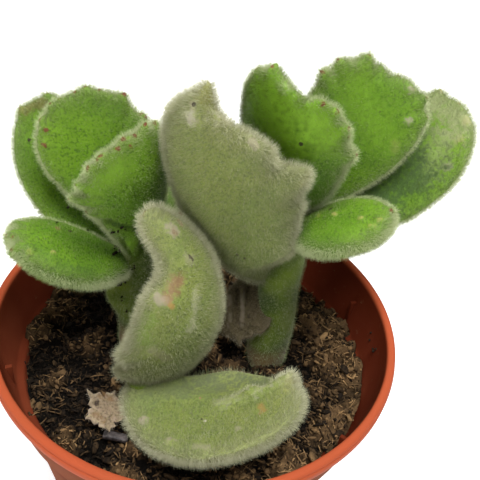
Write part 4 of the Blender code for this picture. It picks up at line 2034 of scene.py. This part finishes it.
@dataclass(frozen=True)
class Soil:
    """The potting soil: a lumpy body with loose crumbs, flakes and fibres on it.

    A `_scale` is in lumps per millimetre. `calm` holds the middles and radii of the places that
    lie nearly level, under the chip and the dry leaf.
    """

    top: float = 45.4
    rise: float = 0.45
    lump: float = 0.28
    radius: float = 28.4
    spread: float = 0.3
    depth: float = 9.0
    grid: int = 170
    bank: float = 0.7
    mound_height: float = 1.2
    mound_azimuth: float = -25.0
    mound_reach: float = 110.0
    warp_scale: float = 0.35
    warp: float = 1.4
    clod_scale: float = 0.17
    clod_height: float = 5.0
    clod_middle: float = 0.42
    lump_scale: float = 0.5
    lump_height: float = 2.0
    lump_middle: float = 0.36
    rough_scale: float = 1.3
    rough_height: float = 0.45
    calm: tuple[tuple[float, float, float], ...] = ((-10.3, -18.4, 3.2), (-12.3, -14.7, 3.0))
    calmest: float = 0.25
    skirt_share: float = 0.25
    skirt_taper: float = 0.94
    buried: float = -1.5
    # Painted shade: these darken the loose bits that lie below the soil's top.
    level_tone: float = 0.85
    tone_rise: float = 0.5
    tone_range: tuple[float, float] = (0.12, 1.5)

    def mound(self, x: float, y: float) -> float:
        """How far the soil is banked up against the wall: most at the right front.

        Args:
            x: The place's x.
            y: The place's y.

        Returns:
            The share, from 0 to 1.
        """
        off = math.degrees(math.atan2(y, x)) - self.mound_azimuth
        side = max(0.0, math.cos(math.radians(off * 0.95)))
        return side**1.5 if abs(off) < self.mound_reach else 0.0

    def level(self, x: float, y: float) -> float:
        """The height of the soil without its clods, banked up at the wall.

        Args:
            x: The place's x.
            y: The place's y.

        Returns:
            The height, in millimetres.
        """
        lumps = math.sin(0.55 * x + 1.3) * math.cos(0.48 * y - 0.4)
        lumps += 0.6 * math.sin(0.9 * x - 1.1 * y)
        level = self.top + self.rise * x / self.radius + self.lump * lumps
        bank = self.bank + self.mound_height * self.mound(x, y)
        return level + bank * (math.hypot(x, y) / self.radius) ** 4

    def height(self, x: float, y: float) -> float:
        """The height of the soil's surface.

        Args:
            x: The place's x.
            y: The place's y.

        Returns:
            The height, in millimetres.
        """
        warp = noise.noise_vector(Vector((x, y, 3.0)) * self.warp_scale) * self.warp
        at = Vector((x + warp.x, y + warp.y, 0.0))
        clod = noise.voronoi(at * self.clod_scale)[0][0]
        lump = noise.voronoi((at + warp) * self.lump_scale)[0][0]
        rough = noise.fractal(at * self.rough_scale, 0.8, 2.1, 3)
        relief = self.clod_height * (self.clod_middle - clod)
        relief += self.lump_height * (self.lump_middle - lump) + self.rough_height * rough
        for centre_x, centre_y, reach in self.calm:
            away = math.hypot(x - centre_x, y - centre_y) / reach
            relief *= min(1.0, self.calmest + (1 - self.calmest) * away**2)
        return self.level(x, y) + relief

    def build(self) -> bpy.types.Material:
        """Builds the body and what lies on it.

        Returns:
            The loose bits' material.
        """
        settle(self.body(), Peat().build(), "soil", "soil")
        loose = Litter().build()
        for piece in (self.crumbs(), self.flakes(), self.fibres()):
            settle(piece, loose, "soil")
        return loose

    def body(self) -> bpy.types.Object:
        """A grid drawn out to a disc, raised into clods, with a skirt and an underside.

        Returns:
            The body.
        """
        bpy.ops.mesh.primitive_grid_add(x_subdivisions=self.grid, y_subdivisions=self.grid, size=2)
        body = new_piece("soil_body")
        depths = []
        for vert in body.data.vertices:
            x, y = vert.co.x, vert.co.y
            round_x = x * math.sqrt(1 - y * y / 2)
            round_y = y * math.sqrt(1 - x * x / 2)
            reach = self.radius + self.spread * self.mound(round_x, round_y) ** 0.5
            place_x, place_y = round_x * reach, round_y * reach
            height = self.height(place_x, place_y)
            vert.co = Vector((place_x, place_y, height)) * MM
            depths.append(height)
        with editing(body):
            bpy.ops.mesh.select_all(action="DESELECT")
            bpy.ops.mesh.select_non_manifold()
            taper = (self.skirt_taper, self.skirt_taper, 1)
            for share in (self.skirt_share, 1 - self.skirt_share):
                bpy.ops.mesh.extrude_edges_move()
                bpy.ops.transform.translate(value=(0, 0, -self.depth * share * MM))
                bpy.ops.transform.resize(value=taper, center_override=(0, 0, 0))
            bpy.ops.mesh.edge_face_add()
            bpy.ops.mesh.select_all(action="SELECT")
            bpy.ops.mesh.normals_make_consistent(inside=False)
        spare = len(body.data.vertices) - len(depths)
        relief = np.array(depths) - self.top
        set_values(body, "relief", np.concatenate([relief, np.full(spare, self.buried)]))
        body.data.shade_smooth()
        return body

    def places(self, draw: np.random.Generator, count: int, clear: float) -> np.ndarray:
        """Random places on the surface, in millimetres, clear of the wall.

        Args:
            draw: The random generator.
            count: How many.
            clear: How far they stay from the wall.

        Returns:
            The places, in millimetres.
        """
        turn = draw.uniform(0, math.tau, count)
        bank = np.array([self.mound(math.cos(a), math.sin(a)) for a in turn.tolist()])
        out = np.sqrt(draw.random(count)) * (self.radius + self.spread * bank**0.5 - clear)
        x, y = out * np.cos(turn), out * np.sin(turn)
        z = [self.height(a, b) for a, b in zip(x.tolist(), y.tolist())]
        return np.stack([x, y, np.array(z)], axis=1)

    @staticmethod
    def frames(draw: np.random.Generator, sizes: np.ndarray, tilt: float) -> np.ndarray:
        """For each loose bit, its three directions with their lengths in metres.

        Args:
            draw: The random generator.
            sizes: The length, width and thickness of each, in millimetres.
            tilt: How far off level they lie, where 1 is about 45 degrees.

        Returns:
            The directions.
        """
        count = len(sizes)
        turn = draw.uniform(0, math.tau, count)
        along = np.stack([np.cos(turn), np.sin(turn), tilt * draw.normal(size=count)], axis=1)
        along = unit(along)
        up = unit(np.array((0, 0, 1.0)) + tilt * draw.normal(size=(count, 3)))
        side = unit(np.cross(up, along))
        up = np.cross(along, side)
        return np.stack([along, side, up], axis=1) * sizes[:, :, None] * MM

    def set_tones(self, made: bpy.types.Object, places: np.ndarray, tones: np.ndarray) -> None:
        """Gives each loose bit its tone, darker the deeper it lies, as painted shade in the hollows.

        Args:
            made: The bits, as one mesh.
            places: Where each lies, in millimetres.
            tones: The tone of each at the soil's top.
        """
        depth = places[:, 2] - self.top
        tones = tones * np.clip(self.level_tone + self.tone_rise * depth, *self.tone_range)
        set_values(made, "tone", np.repeat(tones, len(made.data.vertices) // len(places)))

    def strew(
        self,
        bits: Bits,
        draw: np.random.Generator,
        model: tuple[np.ndarray, np.ndarray],
        sizes: np.ndarray,
        lift: np.ndarray | float,
    ) -> bpy.types.Object:
        """Strews one kind of loose bit over the surface.

        Args:
            bits: The kind.
            draw: Its random generator.
            model: The points and the triangles of one bit, about 1 across.
            sizes: The length, width and thickness of each, in millimetres.
            lift: How far the middle of each is above the surface, in millimetres.

        Returns:
            The bits, as one mesh.
        """
        places = self.places(draw, bits.count, bits.clear)
        places[:, 2] += lift
        made = copies(bits.name, *model, self.frames(draw, sizes, bits.tilt), places * MM)
        tones = bits.brightness * draw.random(bits.count) ** bits.tone_skew
        self.set_tones(made, places, tones)
        return made

    def crumb_model(self) -> tuple[np.ndarray, np.ndarray]:
        """One angular crumb, about 1 across.

        Returns:
            Its points and its triangles.
        """
        bpy.ops.mesh.primitive_ico_sphere_add(subdivisions=1, radius=0.5)
        model = new_piece("crumb_model")
        with editing(model):
            bpy.ops.transform.vertex_random(offset=0.16, seed=4)
        return self.take(model)

    def crumbs(self) -> bpy.types.Object:
        """Small angular crumbs of peat.

        Returns:
            The crumbs, as one mesh.
        """
        draw = np.random.default_rng(CRUMBS.seed)
        model = self.crumb_model()
        long = CRUMBS.lengths(draw)
        sizes = long * draw.uniform(0.7, 1.25, (CRUMBS.count, 3))
        return self.strew(CRUMBS, draw, model, sizes, lift=0.15 * long[:, 0])

    def flakes(self) -> bpy.types.Object:
        """Thin chips of bark and wood.

        Returns:
            The chips, as one mesh.
        """
        draw = np.random.default_rng(FLAKES.seed)
        bpy.ops.mesh.primitive_circle_add(vertices=7, radius=0.5, fill_type="NGON")
        model = new_piece("flake_model")
        with editing(model):
            bpy.ops.transform.vertex_random(offset=0.14, seed=2)
            bpy.ops.mesh.extrude_region_move()
            bpy.ops.transform.translate(value=(0, 0, 1))
        long = FLAKES.lengths(draw)
        wide = draw.uniform(0.35, 0.8, FLAKES.count)
        thick = draw.uniform(0.08, 0.2, FLAKES.count)
        sizes = long * np.stack([np.ones(FLAKES.count), wide, thick], axis=1)
        return self.strew(FLAKES, draw, self.take(model), sizes, lift=0.1)

    def fibres(self) -> bpy.types.Object:
        """Short curved fibres, from dark brown to straw.

        Returns:
            The fibres, as one mesh.
        """
        draw = np.random.default_rng(FIBRES.seed)
        bpy.ops.mesh.primitive_cylinder_add(
            vertices=3, radius=0.5, depth=1.0, rotation=(0, math.radians(90), 0)
        )
        model = new_piece("fibre_model")
        with editing(model):
            for cut in (-0.18, 0.18):
                bpy.ops.mesh.select_all(action="SELECT")
                bpy.ops.mesh.bisect(plane_co=(cut, 0, 0), plane_no=(1, 0, 0))
        for vert in model.data.vertices:
            thin = 1 - 1.4 * vert.co.x**2
            vert.co.y = vert.co.y * thin + 1.6 * vert.co.x**2
            vert.co.z = vert.co.z * thin - 2.0 * vert.co.x**2
        long = FIBRES.lengths(draw)[:, 0]
        wide = draw.uniform(0.12, 0.34, FIBRES.count)
        thick = wide * draw.uniform(0.5, 0.9, FIBRES.count)
        sizes = np.stack([long, wide, thick], axis=1)
        return self.strew(FIBRES, draw, self.take(model), sizes, lift=0.22)

    @staticmethod
    def take(model: bpy.types.Object) -> tuple[np.ndarray, np.ndarray]:
        """The points and triangles of a model, whose object is then removed.

        Args:
            model: The model.

        Returns:
            Its points and its triangles.
        """
        with editing(model):
            bpy.ops.mesh.quads_convert_to_tris()
            bpy.ops.mesh.normals_make_consistent(inside=False)
        points = points_of(model)
        faces = np.array([tuple(face.vertices) for face in model.data.polygons], np.int32)
        bpy.data.objects.remove(model)
        return points, faces


@dataclass(frozen=True)
class Debris:
    """Crumbs of soil on the plant and on the pot's inner wall.

    Each entry of `crumbs` is the pixel of the photograph where some show, and their size.
    """

    each: int = 3
    lift: float = 0.3
    scatter: float = 0.35
    tilt: float = 0.8
    tone: float = 0.06
    seed: int = 15
    skins: tuple[str, ...] = (
        "leaf_left_low_skin",
        "leaf_left_front_skin",
        "leaf_left_back_skin",
        "leaf_left_outer_skin",
        "leaf_right_outer_skin",
        "leaf_centre_tall_skin",
        "stem_left_skin",
        "pot_shell",
    )
    crumbs: tuple[tuple[float, float, float], ...] = (
        (114, 231, 0.5), (117, 229, 0.4), (121, 226, 0.45), (124, 229, 0.3), (136, 232, 0.4),
        (113, 249, 0.5), (115, 253, 0.9), (118, 251, 0.4), (134, 266, 0.5), (117, 281, 0.8),
        (121, 283, 0.9), (125, 281, 0.5), (123, 297, 0.4), (126, 310, 0.4), (57, 224, 0.3),
        (88, 232, 0.3), (325, 198, 0.6), (228, 276, 0.4), (252, 283, 0.5), (372, 333, 0.5),
        (375, 350, 0.6), (370, 341, 0.4),
    )

    def build(self, view: PhotoView, soil: Soil, material: bpy.types.Material) -> None:
        """Sets a crumb where each pixel's ray first meets the plant or the pot.

        Args:
            view: The viewpoint of the pixels.
            soil: The soil, whose crumbs these are.
            material: The loose bits' material.
        """
        sculptors = [Sculptor(view, bpy.data.objects[name]) for name in self.skins]
        draw = np.random.default_rng(self.seed)
        points, faces = soil.crumb_model()
        places, sizes = [], []
        for x, y, size in self.crumbs:
            hits = [found for sculptor in sculptors if (found := sculptor.meet((x, y)))]
            if not hits:
                continue
            place, facing = min(hits, key=lambda hit: (hit[0] - Vector(view.place) * MM).length)
            for _ in range(self.each):
                aside = Vector(draw.normal(0, self.scatter, 3) * size * MM)
                places.append(place + facing * self.lift * MM + aside)
                sizes.append(size * draw.uniform(0.5, 1.0, 3))
        frames = soil.frames(draw, np.array(sizes), self.tilt)
        made = copies("leaf_debris", points, faces, frames, np.array(places))
        set_values(made, "tone", np.full(len(made.data.vertices), self.tone))
        settle(made, material, "soil")


@dataclass(frozen=True)
class Bark:
    """The chip's finish: nearly black, with greyer grain."""

    dark: Colour = (0.012, 0.01, 0.01)
    grey: Colour = (0.11, 0.09, 0.085)
    grain_scale: float = 1400.0
    bump_depth: float = 0.2

    def build(self) -> bpy.types.Material:
        """Makes the material.

        Returns:
            The material.
        """
        finish = Finish("bark", 0.6, Specular_IOR_Level=0.4)
        grain = finish.noise(self.grain_scale, 4.0)
        finish.colour(finish.mix(grain.step(0.3, 0.75), self.dark, self.grey))
        finish.bump(grain, self.bump_depth, 0.9)
        return finish.material


@dataclass(frozen=True)
class Chip:
    """The dark chip of bark on the soil, with its grooves along it."""

    size: Point = (3.8, 1.3, 0.8)
    place: Point = (-10.3, -18.4, 46.4)
    turn: float = -8.0
    rounding: float = 0.24
    groove_depth: float = 0.09
    groove_scale: Point = (0.5, 5.0, 5.0)
    bend: float = -0.12

    def build(self) -> None:
        """Rounds a block into a grooved, slightly bent chip."""
        bpy.ops.mesh.primitive_cube_add(size=1.0)
        chip = new_piece("bark_chip_skin")
        with editing(chip):
            bpy.ops.transform.resize(value=self.size)
            bpy.ops.mesh.bevel(offset=self.rounding, segments=2, affect="EDGES")
            bpy.ops.mesh.subdivide(number_cuts=4)
        turn = Matrix.Rotation(math.radians(self.turn), 3, "Z")
        for vert in chip.data.vertices:
            grooves = noise.noise(vert.co * Vector(self.groove_scale))
            bend = self.bend * (2 * vert.co.x / self.size[0]) ** 2
            local = vert.co + vert.normal * self.groove_depth * grooves + Vector((0, 0, bend))
            vert.co = (turn @ local + Vector(self.place)) * MM
        chip.data.shade_smooth()
        settle(chip, Bark().build(), "bark", "bark_chip")


@dataclass(frozen=True)
class Lamp:
    """A round soft lamp. Its place and size are in metres, and its power in watts."""

    name: str
    place: Point
    size: float
    power: float
    aim: Point = (0, 0, 0.06)

    def build(self) -> None:
        """Adds the lamp."""
        data = bpy.data.lights.new(self.name, "AREA")
        data.shape = "DISK"
        data.size = self.size
        data.energy = self.power
        lamp = bpy.data.objects.new(self.name, data)
        bpy.context.scene.collection.objects.link(lamp)
        turn = (Vector(self.aim) - Vector(self.place)).to_track_quat("-Z", "Y")
        lamp.matrix_world = Matrix.Translation(self.place) @ turn.to_matrix().to_4x4()


@dataclass(frozen=True)
class Studio:
    """A large soft key from above, two weak fills, a pale surround and a pale floor."""

    lamps: tuple[Lamp, ...] = (
        Lamp("key", (0.06, -0.12, 0.55), size=0.3, power=3.6),
        Lamp("fill", (-0.35, -0.3, 0.3), size=0.5, power=1.1),
        Lamp("rear", (0.2, 0.35, 0.4), size=0.5, power=0.6),
    )
    white: Colour = (1.0, 1.0, 1.0)
    surround: float = 0.17
    floor_radius: float = 2.0
    floor_glow: float = 0.6
    floor_low: Colour = (0.86, 0.86, 0.86)
    floor_high: Colour = (0.88, 0.88, 0.88)

    def build(self) -> None:
        """Builds the lamps, the surround and the floor."""
        for lamp in self.lamps:
            lamp.build()
        world = bpy.data.worlds.new("studio")
        bpy.context.scene.world = world
        world.use_nodes = True
        backdrop = world.node_tree.nodes["Background"]
        backdrop.inputs["Color"].default_value = (*self.white, 1.0)
        backdrop.inputs["Strength"].default_value = self.surround
        self.floor()

    def floor(self) -> None:
        """Lays the floor under the pot."""
        bpy.ops.mesh.primitive_circle_add(vertices=96, radius=self.floor_radius, fill_type="NGON")
        floor = new_piece("floor")
        finish = Finish(
            "floor",
            0.9,
            Specular_IOR_Level=0.1,
            Emission_Color=self.white,
            Emission_Strength=self.floor_glow,
        )
        finish.colour(finish.mix(finish.noise(3.0), self.floor_low, self.floor_high))
        floor.data.materials.append(finish.material)


def main() -> None:
    """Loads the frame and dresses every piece."""
    logging.basicConfig(level=logging.INFO, format="%(name)s: %(message)s")
    noise.seed_set(NOISE_SEED)
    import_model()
    bpy.context.scene.view_settings.view_transform = "Standard"
    view = PhotoView()
    view.build()
    Pot().build()
    soil = Soil()
    loose = soil.build()
    Shoots(view).build()
    Foliage(view, LEAVES).build()
    Debris().build(view, soil, loose)
    Chip().build()
    Studio().build()


if __name__ == "__main__":
    main()
